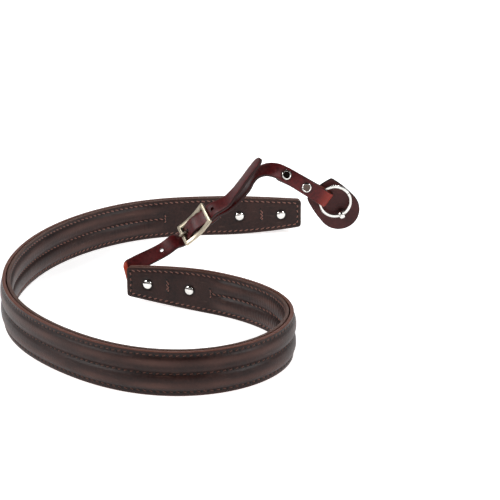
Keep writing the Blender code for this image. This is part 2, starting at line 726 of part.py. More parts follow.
def ring_strap(end):
    """Strap folded round the buckle's bar and round the ring, its two ends turned back."""
    run = end.ring_run
    points, outs, widths, thicks = [], [], [], []

    def add(point, out, width, thick):
        points.append(point)
        outs.append(out)
        widths.append(width)
        thicks.append(thick)

    places = spread(0.0, run.length, RING_STRAP_STATION)
    places.insert(1, places[1] / 2)
    clear_of_tip = STRAP_WIDTH / 4
    tail = [place for place in places if 0.5 * RING_STRAP_STATION < place < BUCKLE_TAIL - clear_of_tip]
    for place in [BUCKLE_TAIL] + tail[::-1]:
        frame = run.frame(place)
        thick = end.ring_strap_thick(place)
        apart = max(thick + GAP, 2 * WRAP_RADIUS * (1 - smooth(0.0, 0.010, place)))
        tip = round_end(BUCKLE_TAIL - place, STRAP_WIDTH) if place > BUCKLE_TAIL - 0.003 else STRAP_WIDTH
        add(frame.at - frame.out * apart, -frame.out, max(tip, STRAP_WIDTH * 0.6), thick)
    bar = end.in_buckle(0.0, 0.0, BAR_DEPTH)
    for turn in (-90, -120, -150, -180, -210, -240):
        angle = math.radians(turn)
        radial = end.buckle.along * math.cos(angle) + end.buckle.out * math.sin(angle)
        add(bar + radial * WRAP_RADIUS, radial, STRAP_WIDTH, SKIVED)
    for place in places:
        frame = run.frame(place)
        add(frame.at, frame.out, STRAP_WIDTH, end.ring_strap_thick(place))
    ring = end.ring_frame()
    for turn in (60, 30, 0, -30, -60):
        angle = math.radians(turn)
        radial = ring.along * math.cos(angle) + ring.out * math.sin(angle)
        add(ring.at + radial * LOOP_RADIUS, radial, STRAP_WIDTH, STRAP)
    backs = [run.length - place for place in reversed(places)]
    for back in [back for back in backs if back < RING_TAIL - clear_of_tip] + [RING_TAIL]:
        frame = run.frame(run.length - back)
        apart = STRAP + GAP + (2 * LOOP_RADIUS - STRAP - GAP) * (1 - smooth(0.003, 0.0095, back))
        tip = round_end(RING_TAIL - back) if back > RING_TAIL - 0.003 else STRAP_WIDTH
        add(frame.at - frame.out * apart, -frame.out, max(tip, STRAP_WIDTH * 0.6), STRAP)
    strap = strap_body(end.name + "_ring_strap", points, outs, widths, thicks, "strap_leather")
    cut(strap, prong_gap(end))
    for name, frame in ring_rivet_frames(end):
        cut(strap, post_hole(name + "_hole", frame, STRAP * 2.4))
    return strap


def prong_gap(end):
    """Slot in the fold on the bar that lets the prong's eye through."""
    made = bmesh.new()
    bmesh.ops.create_cube(made, size=1.0)
    eye = BAR / 2 + GAP + PRONG + GAP
    size = (2 * eye + 0.0012, PRONG + 2 * GAP, 2 * eye + 0.0012)
    made.transform(basis(Frame(end.in_buckle(-0.0004, 0.0, BAR_DEPTH), end.buckle.along, end.buckle.across,
                               end.buckle.out)) @ Matrix.Diagonal((*size, 1.0)))
    return new_object(end.name + "_prong_gap", made, None)


def ring_rivet_frames(end):
    """Frames of the rivets that close the fold at the ring."""
    frames = []
    for number, back in enumerate(RING_RIVETS, start=1):
        place = end.ring_run.length + LOOP_RADIUS + STRAP / 2 - back
        frames.append((f"{end.name}_ring_rivet_{number}", end.ring_run.frame(place)))
    return frames


def split_ring(end):
    """Round wire ring lying in the fold."""
    ring = end.ring_frame()
    centre = end.ring_centre()
    steps = 26
    turns = [2 * math.pi * step / steps for step in range(steps)]
    points = [centre + (ring.along * math.cos(a) + ring.across * math.sin(a)) * RING_RADIUS for a in turns]
    normals = [ring.out] * steps
    return tube_along(end.name + "_split_ring", points, normals, RING_WIRE, RING_WIRE, "bright_nickel",
                      closed=True, sides=6)


GUARD_FRONT = -(LOOP_RADIUS + STRAP / 2 + GAP)             # guard's front face, behind the ring's plane


def ring_eye(end):
    """Small eye round the ring's wire, with a shank through the guard and a flat foot behind it."""
    ring = end.ring_frame()
    turn = math.radians(EYE_ANGLE)
    radial = ring.along * math.cos(turn) + ring.across * math.sin(turn)
    at = end.ring_centre() + radial * RING_RADIUS
    tangent = ring.out.cross(radial)
    radius = RING_WIRE / 2 + GAP + EYE_WIRE / 2
    steps = 10
    points = []
    for step in range(steps):
        a = 2 * math.pi * step / steps
        points.append(at + (radial * math.cos(a) + ring.out * math.sin(a)) * radius)
    eye = tube_along(end.name + "_ring_eye", points, [tangent] * steps, EYE_WIRE, EYE_WIRE, "bright_nickel",
                     closed=True, sides=6)
    back = GUARD_FRONT - GUARD - GAP
    profile = ((0.0, back - EYE_FOOT_THICK), (EYE_FOOT / 2, back - EYE_FOOT_THICK), (EYE_FOOT / 2, back),
               (EYE_WIRE * 0.6, back), (EYE_WIRE * 0.6, -radius), (0.0, -radius))
    place = basis(Frame(at, radial, ring.out.cross(radial), ring.out))
    cut(eye, turned(end.name + "_eye_foot", profile, place, None), "UNION")
    return eye


def guard_outline():
    """Shield shape about the guard's middle as (along, across): round end, full sides, crowned top."""
    radius = GUARD_WIDTH / 2
    centre = GUARD_LENGTH / 2 - radius
    top = -GUARD_LENGTH / 2 + GUARD_CROWN
    corner = GUARD_TOP / 2
    steps = 12
    half_turn = [math.pi * (step / steps - 0.5) for step in range(steps + 1)]
    outline = [(centre + radius * math.cos(a), radius * math.sin(a)) for a in half_turn]
    side = []
    for share in (0.3, 0.6, 0.85, 1.0):
        side.append((centre + (top - centre) * share, radius - (radius - corner) * share ** 2))
    crown = [(top - GUARD_CROWN * (1 - share ** 2), corner * share) for share in (0.5, 0.0, -0.5)]
    return outline + side + crown + [(along, -across) for along, across in reversed(side)]


def ring_guard(end):
    """Leather guard behind the ring."""
    ring = end.ring_frame()
    middle = end.ring_centre() + ring.along * GUARD_ALONG + ring.across * GUARD_ACROSS
    turn = math.radians(GUARD_TURN)
    down = ring.along * math.cos(turn) + ring.across * math.sin(turn)
    side = ring.out.cross(down)
    rings = []
    for inset, depth in ((GUARD_EDGE, GUARD_FRONT), (0.0, GUARD_FRONT - GUARD_EDGE),
                         (0.0, GUARD_FRONT - GUARD + GUARD_EDGE), (GUARD_EDGE, GUARD_FRONT - GUARD)):
        shrink = 1 - inset / (GUARD_WIDTH / 2)
        rings.append([middle + down * along * shrink + side * across * shrink + ring.out * depth
                      for along, across in guard_outline()])
    guard = skin(end.name + "_ring_guard", rings, "guard_leather")
    turn = math.radians(EYE_ANGLE)
    radial = ring.along * math.cos(turn) + ring.across * math.sin(turn)
    at = end.ring_centre() + radial * RING_RADIUS
    start = at + ring.out * (GUARD_FRONT + GUARD)
    stop = at + ring.out * (GUARD_FRONT - 2 * GUARD)
    cut(guard, rod_between(end.name + "_eye_hole", start, stop, EYE_WIRE * 1.2 + 2 * GAP))
    return guard


def build_end(end, pad_halves):
    """Everything on one end of the pad."""
    adjuster_strap(end)
    buckle_frame(end)
    buckle_prong(end)
    ring_strap(end)
    split_ring(end)
    ring_eye(end)
    ring_guard(end)
    pad_depth = GAP / 2 + LEATHER
    for number, inwards in enumerate(PAD_RIVETS, start=1):
        frame = end.on_pad(inwards, 0.0)
        name = f"{end.name}_pad_rivet_{number}"
        rivet(name, frame, pad_depth, STRAP_DEPTH + STRAP / 2)
        for half in pad_halves:
            cut(half, post_hole(f"{name}_hole_{half.name}", frame, pad_depth * 2))
    for name, frame in ring_rivet_frames(end):
        rivet(name, frame, STRAP * 1.5 + GAP + BENT_SEAT, STRAP / 2 + BENT_SEAT, flat_below=True)


def centre_on_floor():
    """Move every piece so that the origin is on the floor, at the middle of the strap's length and depth."""
    pieces = [piece for piece in bpy.context.scene.objects if piece.type == "MESH"]
    shown = [piece for piece in pieces if not piece.hide_render]
    corners = [vertex.co for piece in shown for vertex in piece.data.vertices]
    low = [min(corner[axis] for corner in corners) for axis in range(3)]
    high = [max(corner[axis] for corner in corners) for axis in range(3)]
    shift = Vector(((low[0] + high[0]) / 2, (low[1] + high[1]) / 2, low[2]))
    for piece in pieces:
        piece.data.transform(Matrix.Translation(-shift))
    return shift


def main():
    for old in list(bpy.data.objects):
        bpy.data.objects.remove(old, do_unlink=True)
    halves = (pad_half("pad_outer_leather", 1), pad_half("pad_inner_leather", -1))
    near = End("near", PAD_LENGTH, 1, NEAR_STRAP, NEAR_RING_STRAP, NEAR_TURN_FROM, NEAR_FOLD)
    far = End("far", 0.0, -1, FAR_STRAP, FAR_RING_STRAP, FAR_TURN_FROM, FAR_FOLD)
    for end in (near, far):
        build_end(end, halves)
    centre_on_floor()


main()
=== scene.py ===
import math
import random

import bmesh
import bpy
from mathutils import Matrix, Vector


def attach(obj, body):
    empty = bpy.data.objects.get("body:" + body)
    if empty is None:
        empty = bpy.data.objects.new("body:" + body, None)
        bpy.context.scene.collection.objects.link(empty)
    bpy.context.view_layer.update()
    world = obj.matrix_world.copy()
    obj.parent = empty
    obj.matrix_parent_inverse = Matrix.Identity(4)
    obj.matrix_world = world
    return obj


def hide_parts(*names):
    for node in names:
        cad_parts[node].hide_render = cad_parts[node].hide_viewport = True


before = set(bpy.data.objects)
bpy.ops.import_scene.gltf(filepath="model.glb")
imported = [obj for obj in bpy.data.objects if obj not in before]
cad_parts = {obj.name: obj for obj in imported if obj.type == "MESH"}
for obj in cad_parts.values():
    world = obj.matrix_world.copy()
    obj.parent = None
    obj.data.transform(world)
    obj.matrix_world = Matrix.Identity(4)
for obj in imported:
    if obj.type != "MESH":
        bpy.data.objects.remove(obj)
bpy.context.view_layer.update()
print("solids loaded:", len(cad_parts))


class Wire:
    # a shader socket that adds, subtracts and multiplies like a number
    def __init__(self, paint, socket):
        self.paint = paint
        self.socket = socket

    def sum(self, kind, one, two):
        return self.paint.node("ShaderNodeMath", {"operation": kind}, {0: one, 1: two})

    def __add__(self, other):
        return self.sum("ADD", self, other)

    def __radd__(self, other):
        return self.sum("ADD", other, self)

    def __sub__(self, other):
        return self.sum("SUBTRACT", self, other)

    def __mul__(self, other):
        return self.sum("MULTIPLY", self, other)


class Paint:
    # one procedural material, or the world's light
    def __init__(self, name, fixed, world=None):
        self.material = world or bpy.data.materials.new(name)
        self.material.use_nodes = True
        self.tree = self.material.node_tree
        self.shader = self.tree.nodes["Background" if world else "Principled BSDF"]
        for socket, value in fixed.items():
            self.shader.inputs[socket].default_value = value

    def node(self, kind, settings=None, values=None, output=0):
        made = self.tree.nodes.new(kind)
        for setting, value in (settings or {}).items():
            if setting == "stops":
                stops = made.color_ramp.elements
                for index, (place, tone) in enumerate(value):
                    stop = stops[index] if index < 2 else stops.new(place)
                    stop.position = place
                    stop.color = (*tone, 1.0)
            else:
                setattr(made, setting, value)
        for socket, value in (values or {}).items():
            if isinstance(value, Wire):
                self.tree.links.new(value.socket, made.inputs[socket])
            else:
                made.inputs[socket].default_value = value
        return Wire(self, made.outputs[output])

    def place(self):
        return self.node("ShaderNodeTexCoord", output="Object")

    def mark(self, name, output="Fac"):
        return self.node("ShaderNodeAttribute", {"attribute_name": name}, output=output)

    def noise(self, where, scale, detail=2.0, rough=0.5):
        values = {"Vector": where, "Scale": scale, "Detail": detail, "Roughness": rough}
        return self.node("ShaderNodeTexNoise", {}, values)

    def stretch(self, where, by):
        return self.node("ShaderNodeVectorMath", {"operation": "MULTIPLY"}, {0: where, 1: by})

    def ramp(self, value, low, high, bottom=0.0, top=1.0):
        values = {0: value, 1: low, 2: high, 3: bottom, 4: top}
        return self.node("ShaderNodeMapRange", {"clamp": True}, values)

    def blend(self, share, one, two):
        values = {0: share, 6: one, 7: two}
        for socket in (6, 7):
            if not isinstance(values[socket], Wire):
                values[socket] = (*values[socket], 1.0)
        return self.node("ShaderNodeMix", {"data_type": "RGBA"}, values, 2)

    def bump(self, height, distance, strength):
        return self.node("ShaderNodeBump", {}, {"Height": height, "Distance": distance, "Strength": strength})

    def finish(self, **wires):
        for socket, wire in wires.items():
            self.tree.links.new(wire.socket, self.shader.inputs[socket.replace("_", " ")])
        return self.material


# sizes of the grain, in repeats per metre
leatherGrain = {"broad": 55.0, "fine": 620.0, "pores": 1500.0}
metalGrain = {"hair": (260.0, 2400.0, 900.0), "cloud": 130.0}
threadGrain = {"twist": (5200.0, 5200.0, 0.0), "plies": 0.16, "fuzz": 1800.0}


def leatherPaint(name, look):
    paint = Paint(name, {"Specular IOR Level": look["shine"], "Coat Roughness": 0.22})
    where = paint.place()
    run = paint.mark("run", "Vector")
    rim = paint.mark("rim")
    flesh = paint.mark("flesh")
    broad = paint.noise(where, leatherGrain["broad"], 3.0, 0.6)
    fine = paint.noise(where, leatherGrain["fine"], 4.0, 0.65)
    pores = paint.node("ShaderNodeTexVoronoi", {"feature": "F1"},
                       {"Vector": where, "Scale": leatherGrain["pores"]})
    # creases run across the piece: stretched noise over its own length and width
    creases = paint.node("ShaderNodeTexNoise", {"noise_type": "RIDGED_MULTIFRACTAL"},
                         {"Vector": paint.stretch(run, look["creaseStretch"]), "Scale": 1.0,
                          "Detail": 2.0, "Roughness": 0.45})
    rubbed = paint.ramp(broad * 0.55 + fine * 0.45, 0.38, 0.64)
    face = paint.blend(rubbed * 0.75, look["dark"], look["light"])
    # light scuffs, longer than wide
    scuffs = paint.ramp(paint.noise(paint.stretch(run, look["scuffStretch"]), 1.0, 3.0, 0.7), 0.60, 0.74)
    face = paint.blend(scuffs * look["scuffShare"], face, look["scuff"])
    # painted highlight on the pad's raised channels, partly rubbed wear; on the straps, the red of pulled
    # leather
    face = paint.blend(paint.mark("bend") * look["bendShare"], face, look["bend"])
    face = paint.blend(flesh, face, look["flesh"])
    face = paint.blend(paint.ramp(rim + (fine - 0.5) * 0.25, 0.42, 0.62), face, look["edge"])
    # painted shade: darker where the leather is pushed in, at stitch rows, seams, channel borders and round
    # caps and dents
    face = paint.blend(paint.mark("press") * 0.85, face, look["pressed"])
    rough = look["rough"] + (fine - 0.5) * 0.28 + rim * 0.18 + flesh * 0.2
    height = pores * 0.30 + fine * 0.45 + creases * (paint.mark("crease") * 0.85 + look["creaseShare"])
    normal = paint.bump(height, look["bumpDepth"], look["bumpShare"])
    coat = paint.ramp(rim + flesh, 0.0, 0.8, look["coat"], 0.0)
    return paint.finish(Base_Color=face, Roughness=rough, Normal=normal, Coat_Weight=coat)


def metalPaint(name, look):
    paint = Paint(name, {"Metallic": 1.0})
    where = paint.place()
    hairs = paint.noise(paint.stretch(where, metalGrain["hair"]), 1.0, 3.0, 0.6)
    cloud = paint.noise(where, metalGrain["cloud"], 3.0, 0.6)
    tone = paint.blend(paint.ramp(cloud, 0.35, 0.7), look["light"], look["dark"])
    # painted shade and a painted dark reflection in the hollow middle of a flat rivet cap
    tone = paint.blend(paint.mark("press"), tone, look["hollowShade"])
    rough = look["rough"] + (cloud - 0.5) * 0.10 + (hairs - 0.5) * 0.06
    normal = paint.bump(hairs * 0.4 + cloud * 0.6, 0.00004, look["bumpShare"])
    return paint.finish(Base_Color=tone, Roughness=rough, Normal=normal)


def threadPaint(name, look):
    paint = Paint(name, {"Specular IOR Level": 0.35})
    twisted = paint.stretch(paint.mark("run", "Vector"), threadGrain["twist"])
    plies = paint.node("ShaderNodeTexWave", {"bands_direction": "DIAGONAL"},
                       {"Vector": twisted, "Scale": threadGrain["plies"], "Distortion": 0.4}, "Fac")
    fuzz = paint.noise(paint.place(), threadGrain["fuzz"], 2.0, 0.5)
    tone = paint.blend(plies * 0.5 + fuzz * 0.3, look["dark"], look["light"])
    normal = paint.bump(plies * 0.8 + fuzz * 0.2, 0.00012, 0.6)
    return paint.finish(Base_Color=tone, Roughness=0.55 + fuzz * 0.25, Normal=normal)


def floorPaint():
    paint = Paint("paleFloor", {"Specular IOR Level": 0.0, "Emission Color": (1.0, 1.0, 1.0, 1.0),
                                "Emission Strength": 0.72})
    cloud = paint.noise(paint.place(), 3.0, 2.0, 0.5)
    tone = paint.blend(cloud, (0.93, 0.93, 0.93), (0.90, 0.90, 0.90))
    return paint.finish(Base_Color=tone, Roughness=0.9 + (cloud - 0.5) * 0.1)


# colours by mark: the cut edge; red where a strap is pulled, and a painted highlight along the pad's raised
# channels that is partly rubbed wear; places pushed in, painted darker as shade; the rough flesh side
padLook = {
    "dark": (0.0110, 0.0036, 0.0029), "light": (0.040, 0.0148, 0.0112), "bend": (0.108, 0.050, 0.039),
    "bendShare": 0.62, "edge": (0.130, 0.044, 0.028), "flesh": (0.10, 0.045, 0.03),
    "pressed": (0.0035, 0.0016, 0.0015), "rough": 0.43, "shine": 0.22, "coat": 0.0,
    "scuff": (0.125, 0.068, 0.052), "scuffShare": 0.30, "scuffStretch": (75.0, 520.0, 0.0),
    "creaseStretch": (900.0, 130.0, 0.0), "creaseShare": 0.14, "bumpDepth": 0.00030, "bumpShare": 0.70,
}
innerPadLook = dict(padLook, edge=(0.080, 0.034, 0.023), dark=(0.0120, 0.0040, 0.0033),
                    light=(0.044, 0.0165, 0.0128), scuffShare=0.42)
strapLook = {
    "dark": (0.036, 0.0032, 0.0042), "light": (0.155, 0.0125, 0.0125), "bend": (0.42, 0.045, 0.020),
    "bendShare": 0.95, "edge": (0.022, 0.0050, 0.0045), "flesh": (0.30, 0.050, 0.020),
    "pressed": (0.006, 0.0015, 0.0015), "rough": 0.42, "shine": 0.25, "coat": 0.03,
    "scuff": (0.20, 0.035, 0.030), "scuffShare": 0.22, "scuffStretch": (90.0, 600.0, 0.0),
    "creaseStretch": (700.0, 90.0, 0.0), "creaseShare": 0.04, "bumpDepth": 0.00016, "bumpShare": 0.45,
}
guardLook = dict(strapLook, dark=(0.036, 0.0065, 0.0065), light=(0.085, 0.0180, 0.0160),
                 edge=(0.005, 0.0025, 0.0025), rough=0.44, coat=0.0, flesh=(0.20, 0.07, 0.045))
nickelLook = {"light": (0.50, 0.44, 0.345), "dark": (0.32, 0.275, 0.205), "rough": 0.33,
              "bumpShare": 0.04, "hollowShade": (0.05, 0.04, 0.03)}
brightLook = {"light": (0.80, 0.79, 0.76), "dark": (0.62, 0.60, 0.57), "rough": 0.13,
              "bumpShare": 0.03, "hollowShade": (0.092, 0.066, 0.056)}
paleThreadLook = {"dark": (0.13, 0.050, 0.038), "light": (0.35, 0.165, 0.128)}
dimThreadLook = {"dark": (0.034, 0.013, 0.009), "light": (0.190, 0.074, 0.050)}
holeShadeLook = {"dark": (0.0015, 0.0008, 0.0007), "light": (0.006, 0.003, 0.0025)}
paints = {
    "padOuter": leatherPaint("padOuterLeather", padLook),
    "padInner": leatherPaint("padInnerLeather", innerPadLook),
    "strap": leatherPaint("strapLeather", strapLook),
    "guard": leatherPaint("guardLeather", guardLook),
    "nickel": metalPaint("warmNickel", nickelLook),
    "bright": metalPaint("brightNickel", brightLook),
    "paleThread": threadPaint("paleThread", paleThreadLook),
    "dimThread": threadPaint("dimThread", dimThreadLook),
    "holeShade": threadPaint("holeShade", holeShadeLook),
    "floor": floorPaint(),
}
print("materials made:", len(paints))


def smooth(low, high, value):
    share = min(max((value - low) / (high - low), 0.0), 1.0)
    return share * share * (3 - 2 * share)


def bell(away, wide):
    return math.exp(-(away / wide) ** 2)


def swing(one, two, turn):
    # the direction between two axes, turned from the first to the second
    return one * math.cos(turn) + two * math.sin(turn)


def lengthsAlong(points):
    keys = [0.0]
    for one, two in zip(points, points[1:]):
        keys.append(keys[-1] + (two - one).length)
    return keys


def slopeAt(xs, ys, index):
    spans = [one for one in (index - 1, index) if 0 <= one < len(xs) - 1]
    slopes = [(ys[one + 1] - ys[one]) / (xs[one + 1] - xs[one]) for one in spans]
    if len(spans) == 1:
        return slopes[0]
    before = xs[index] - xs[index - 1]
    after = xs[index + 1] - xs[index]
    return (slopes[0] * after + slopes[1] * before) / (before + after)


def through(xs, ys, x):
    # smooth curve through the points, numbers or vectors
    index = 0
    while index < len(xs) - 2 and x > xs[index + 1]:
        index += 1
    span = xs[index + 1] - xs[index]
    share = (x - xs[index]) / span
    start = slopeAt(xs, ys, index) * span
    end = slopeAt(xs, ys, index + 1) * span
    rise = (ys[index + 1] - ys[index]) * (share * share * (3 - 2 * share))
    leaving = start * (share * (1 - share) ** 2)
    arriving = end * (share * share * (1 - share))
    return ys[index] + rise + leaving - arriving


def spread(start, end, spacing):
    count = max(round(abs(end - start) / spacing), 1)
    return [start + (end - start) * index / count for index in range(count + 1)]


def closedMesh(name, points, faces):
    # closed body with its faces turned outwards
    mesh = bpy.data.meshes.new(name)
    mesh.from_pydata([tuple(point) for point in points], [], faces)
    solid = bmesh.new()
    solid.from_mesh(mesh)
    bmesh.ops.recalc_face_normals(solid, faces=solid.faces)
    solid.to_mesh(mesh)
    solid.free()
    return mesh


def placed(name, data):
    made = bpy.data.objects.new(name, data)
    bpy.context.scene.collection.objects.link(made)
    return made


markNames = ("rim", "bend", "press", "flesh", "crease")


def makePiece(name, points, faces, paint, marks=None, runs=None, sharpAngle=50):
    # one closed body as an object, with its marks for the paint
    mesh = closedMesh(name, points, faces)
    for markName in markNames:
        layer = mesh.attributes.new(markName, "FLOAT", "POINT")
        if marks and markName in marks:
            layer.data.foreach_set("value", marks[markName])
    if runs:
        layer = mesh.attributes.new("run", "FLOAT_VECTOR", "POINT")
        layer.data.foreach_set("vector", [number for run in runs for number in (*run, 0.0)])
    mesh.materials.append(paints[paint])
    mesh.shade_smooth()
    mesh.set_sharp_from_angle(angle=math.radians(sharpAngle))
    made = placed(name, mesh)
    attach(made, "root")
    return made


class Skin:
    # points of one leather piece: each has its place along and across it, and its marks
    def __init__(self):
        self.points, self.runs = [], []
        self.marks = {name: [] for name in markNames}

    def add(self, point, run, **marks):
        self.points.append(point)
        self.runs.append(run)
        for name in markNames:
            self.marks[name].append(marks.get(name, 0.0))

    def make(self, name, rows, paint):
        faces = skinFaces(rows, len(self.points) // rows)
        return makePiece(name, self.points, faces, paint, self.marks, self.runs)


def skinFaces(rows, columns, closed=False, start=0):
    faces = []
    for row in range(rows if closed else rows - 1):
        nextRow = (row + 1) % rows
        for column in range(columns):
            nextColumn = (column + 1) % columns
            faces.append((start + row * columns + column, start + row * columns + nextColumn,
                          start + nextRow * columns + nextColumn, start + nextRow * columns + column))
    if not closed:
        faces.append(tuple(start + column for column in range(columns)))
        faces.append(tuple(start + (rows - 1) * columns + column for column in reversed(range(columns))))
    return faces


def cutHoles(target, cutters):
    # cut helper bodies out of a piece and remove them
    for cutter in cutters:
        step = target.modifiers.new("cut", "BOOLEAN")
        step.operation = "DIFFERENCE"
        step.solver = "EXACT"
        step.object = cutter
    bpy.context.view_layer.update()
    seen = target.evaluated_get(bpy.context.evaluated_depsgraph_get())
    cutMesh = bpy.data.meshes.new_from_object(seen)
    target.modifiers.clear()
    old = target.data
    target.data = cutMesh
    bpy.data.meshes.remove(old)
    for cutter in cutters:
        bpy.data.objects.remove(cutter, do_unlink=True)


def rod(start, end, radius, sides=24, long=0.0, longAxis=None):
    # plain rod, or a long slot's cutter when long is given
    axis = (end - start).normalized()
    side = longAxis - axis * longAxis.dot(axis) if longAxis else axis.orthogonal()
    side.normalize()
    other = axis.cross(side)
    points = []
    for at in (start, end):
        for index in range(sides):
            turn = 2 * math.pi * (index + 0.5) / sides
            shift = long / 2 if math.cos(turn) > 0 else -long / 2
            points.append(at + side * (shift + radius * math.cos(turn)) + other * (radius * math.sin(turn)))
    return placed("cutter", closedMesh("cutter", points, skinFaces(2, sides)))


pad = {
    "start": Vector((0.071826, 0.117371, 0.0)),      # far end, on the floor
    "length": 0.645, "width": 0.025, "endWidth": 0.0178, "taper": 0.050, "corner": 0.0016,
    "leather": 0.00225, "swell": 0.0013, "margin": 0.0030, "groove": 0.0014, "gap": 0.0003,
    "nearChannelEnd": 0.058, "farChannelEnd": 0.092, "channelFade": 0.014,
    "station": 0.0006, "rivets": (0.0130, 0.0395),
    "turns": ((0.00, 190), (0.10, 185), (0.20, 219), (0.30, 248), (0.40, 273), (0.50, 304), (0.60, 331),
              (0.70, 386), (0.78, 437), (0.85, 485), (0.92, 513), (1.00, 522)),
    "topLine": 0.0021, "bottomLine": 0.0024, "lineEnd": 0.0016,      # stitch rows from the edges
    # dents, as (deep, wide), and creases on the inside of the tight turns
    "rowDent": (0.00026, 0.00042), "seamDent": (0.00034, 0.00045), "capDent": (0.00030, 0.0008),
    "capEdge": 0.0031, "edgeDrop": (0.00018, 0.0012), "creaseDeep": 0.00019,
    "rim": 0.00045, "crest": (0.0036, 0.0062, 0.0070, 0.0090),       # heights of the channels' painted highlight, which is partly rubbed wear
    # (inset, share of the leather's depth) from the middle of the cut edge to the face
    "edgeSteps": ((0.00005, 0.10), (0.0, 0.25), (0.0, 0.5), (0.0, 0.74), (0.00006, 0.86), (0.00020, 0.95)),
    "endSteps": [0.0, 0.0001, 0.0003, 0.0006, 0.001, 0.0016],
}
pad["rivetPlaces"] = list(pad["rivets"]) + [pad["length"] - place for place in pad["rivets"]]
padShares = [row[0] for row in pad["turns"]]
padHeadings = [math.radians(row[1]) for row in pad["turns"]]
padSteps = 640


def walkLoop():
    points = [pad["start"].copy()]
    for index in range(padSteps):
        heading = through(padShares, padHeadings, (index + 0.5) / padSteps)
        way = Vector((math.cos(heading), math.sin(heading), 0.0))
        points.append(points[-1] + way * (pad["length"] / padSteps))
    return points


loopPoints = walkLoop()


def padFrame(distance):
    # middle of the pad, along it, up, and out of its outer side
    share = min(max(distance / pad["length"], 0.0), 1.0)
    place = share * padSteps
    index = min(int(place), padSteps - 1)
    at = loopPoints[index].lerp(loopPoints[index + 1], place - index)
    heading = through(padShares, padHeadings, share)
    along = Vector((math.cos(heading), math.sin(heading), 0.0))
    out = Vector((math.sin(heading), -math.cos(heading), 0.0))
    return at + Vector((0.0, 0.0, pad["width"] / 2)), along, Vector((0.0, 0.0, 1.0)), out


def padWidth(distance):
    toEnd = min(distance, pad["length"] - distance)
    narrowing = max(1 - toEnd / pad["taper"], 0.0) ** 1.6
    width = pad["width"] - (pad["width"] - pad["endWidth"]) * narrowing
    if toEnd < pad["corner"]:
        drop = pad["corner"] - toEnd
        width -= 2 * (pad["corner"] - math.sqrt(pad["corner"] ** 2 - drop ** 2))
    return width


def padSwell(distance):
    fade = pad["channelFade"] / 2
    fromFar = smooth(pad["farChannelEnd"] - fade, pad["farChannelEnd"] + fade, distance)
    fromNear = smooth(pad["nearChannelEnd"] - fade, pad["nearChannelEnd"] + fade, pad["length"] - distance)
    return fromFar * fromNear


def tightness(distance):
    # how tightly the loop turns here, 0 to 1
    share = min(max(distance / pad["length"], 0.01), 0.99)
    turned = through(padShares, padHeadings, share + 0.01) - through(padShares, padHeadings, share - 0.01)
    return smooth(6.0, 26.0, turned / (0.02 * pad["length"]))


def wander(value, seed, waves=5):
    # seeded gentle unevenness, about -1 to 1
    source = random.Random(seed)
    total = 0.0
    for _ in range(waves):
        total += math.sin(value * source.uniform(40, 260) + source.uniform(0, 6.28))
    return total / waves


def rowLine(distance, height):
    # height of the stitch row on this side of the middle
    return padWidth(distance) / 2 - (pad["topLine"] if height > 0 else pad["bottomLine"])


def padDepth(distance, height, side):
    # depth of one face, from the inside of its leather
    edge = padWidth(distance) / 2
    inner = edge - pad["margin"]
    channel = inner - pad["groove"] / 2
    swell = padSwell(distance)
    depth = pad["leather"]
    up = abs(height)
    if pad["groove"] / 2 < up < inner and channel > 0.001:
        share = abs(2 * (inner - up) / channel - 1)
        uneven = 1 + 0.05 * wander(distance, 3 if height > 0 else 4)
        depth += pad["swell"] * swell * uneven * (1 - share ** 2.4) ** 0.8
    if pad["lineEnd"] < distance < pad["length"] - pad["lineEnd"]:
        deep, wide = pad["rowDent"]
        depth -= deep * bell(up - rowLine(distance, height), wide)
    deep, wide = pad["seamDent"]
    depth -= deep * swell * bell(height, wide)
    if side < 0:
        folds = math.sin(distance * 2450 + 2.1 * math.sin(height * 420) + 3 * wander(distance, 9, 3))
        folds += 0.7 * math.sin(distance * 3900 + 1.7 * math.sin(height * 310 + 2))
        depth += pad["creaseDeep"] * tightness(distance) * folds * smooth(0.0, 0.003, edge - up)
    deep, wide = pad["capDent"]
    for place in pad["rivetPlaces"]:
        if abs(distance - place) < 0.006:
            depth -= deep * bell(math.hypot(distance - place, height) - pad["capEdge"], wide)
    deep, wide = pad["edgeDrop"]
    return depth - deep * (1 - smooth(0.0, wide, edge - up))


def padHeights(edge):
    # heights of one face's points, top to bottom
    inner = edge - pad["margin"]
    groove = pad["groove"] / 2
    margin = pad["margin"] - pad["rim"]
    heights = [edge - pad["rim"] - margin * step / 6 for step in range(6)]
    heights += [inner + (groove - inner) * step / 16 for step in range(16)]
    heights += [groove - 2 * groove * step / 4 for step in range(4)]
    heights += [-groove - (inner - groove) * step / 16 for step in range(16)]
    return heights + [-inner - margin * step / 6 for step in range(7)]


# marks at one point: the cut edge, creases, a painted highlight along the channels that is partly rubbed
# wear, and painted shade where the leather is pushed in
def padMarks(distance, height, rim, side):
    # how rubbed, pressed and creased the leather is at one point
    edge = padWidth(distance) / 2
    up = abs(height)
    toEnd = min(distance, pad["length"] - distance)
    swell = padSwell(distance)
    low, full, high, past = pad["crest"]
    # painted highlight along the channel crests, partly rubbed wear
    crest = swell * smooth(low, full, up) * (1 - smooth(high, past, up))
    # painted shade along the stitch rows, the middle seam and the channel borders, stronger on the inner
    # face, and round the rivet caps
    deep = 1.0 if side < 0 else 0.45
    sunk = 0.45 * deep * bell(up - rowLine(distance, height), 0.0005)
    sunk = max(sunk, 0.85 * deep * swell * bell(height, 0.0010))
    sunk = max(sunk, 0.5 * deep * swell * bell(up - edge + pad["margin"], 0.0010))
    for place in pad["rivetPlaces"]:
        sunk = max(sunk, 0.75 * bell(math.hypot(distance - place, height) - pad["capEdge"], 0.0007))
    creased = 0.45 + 0.55 * tightness(distance) if side < 0 else 0.14
    return {"rim": max(rim, 1 - smooth(0.0, 0.0004, toEnd)),
            "bend": crest * (0.5 + 0.5 * wander(distance, 12)),
            "press": sunk if rim == 0.0 else 0.0,
            "crease": creased * smooth(0.0, 0.002, edge - up)}


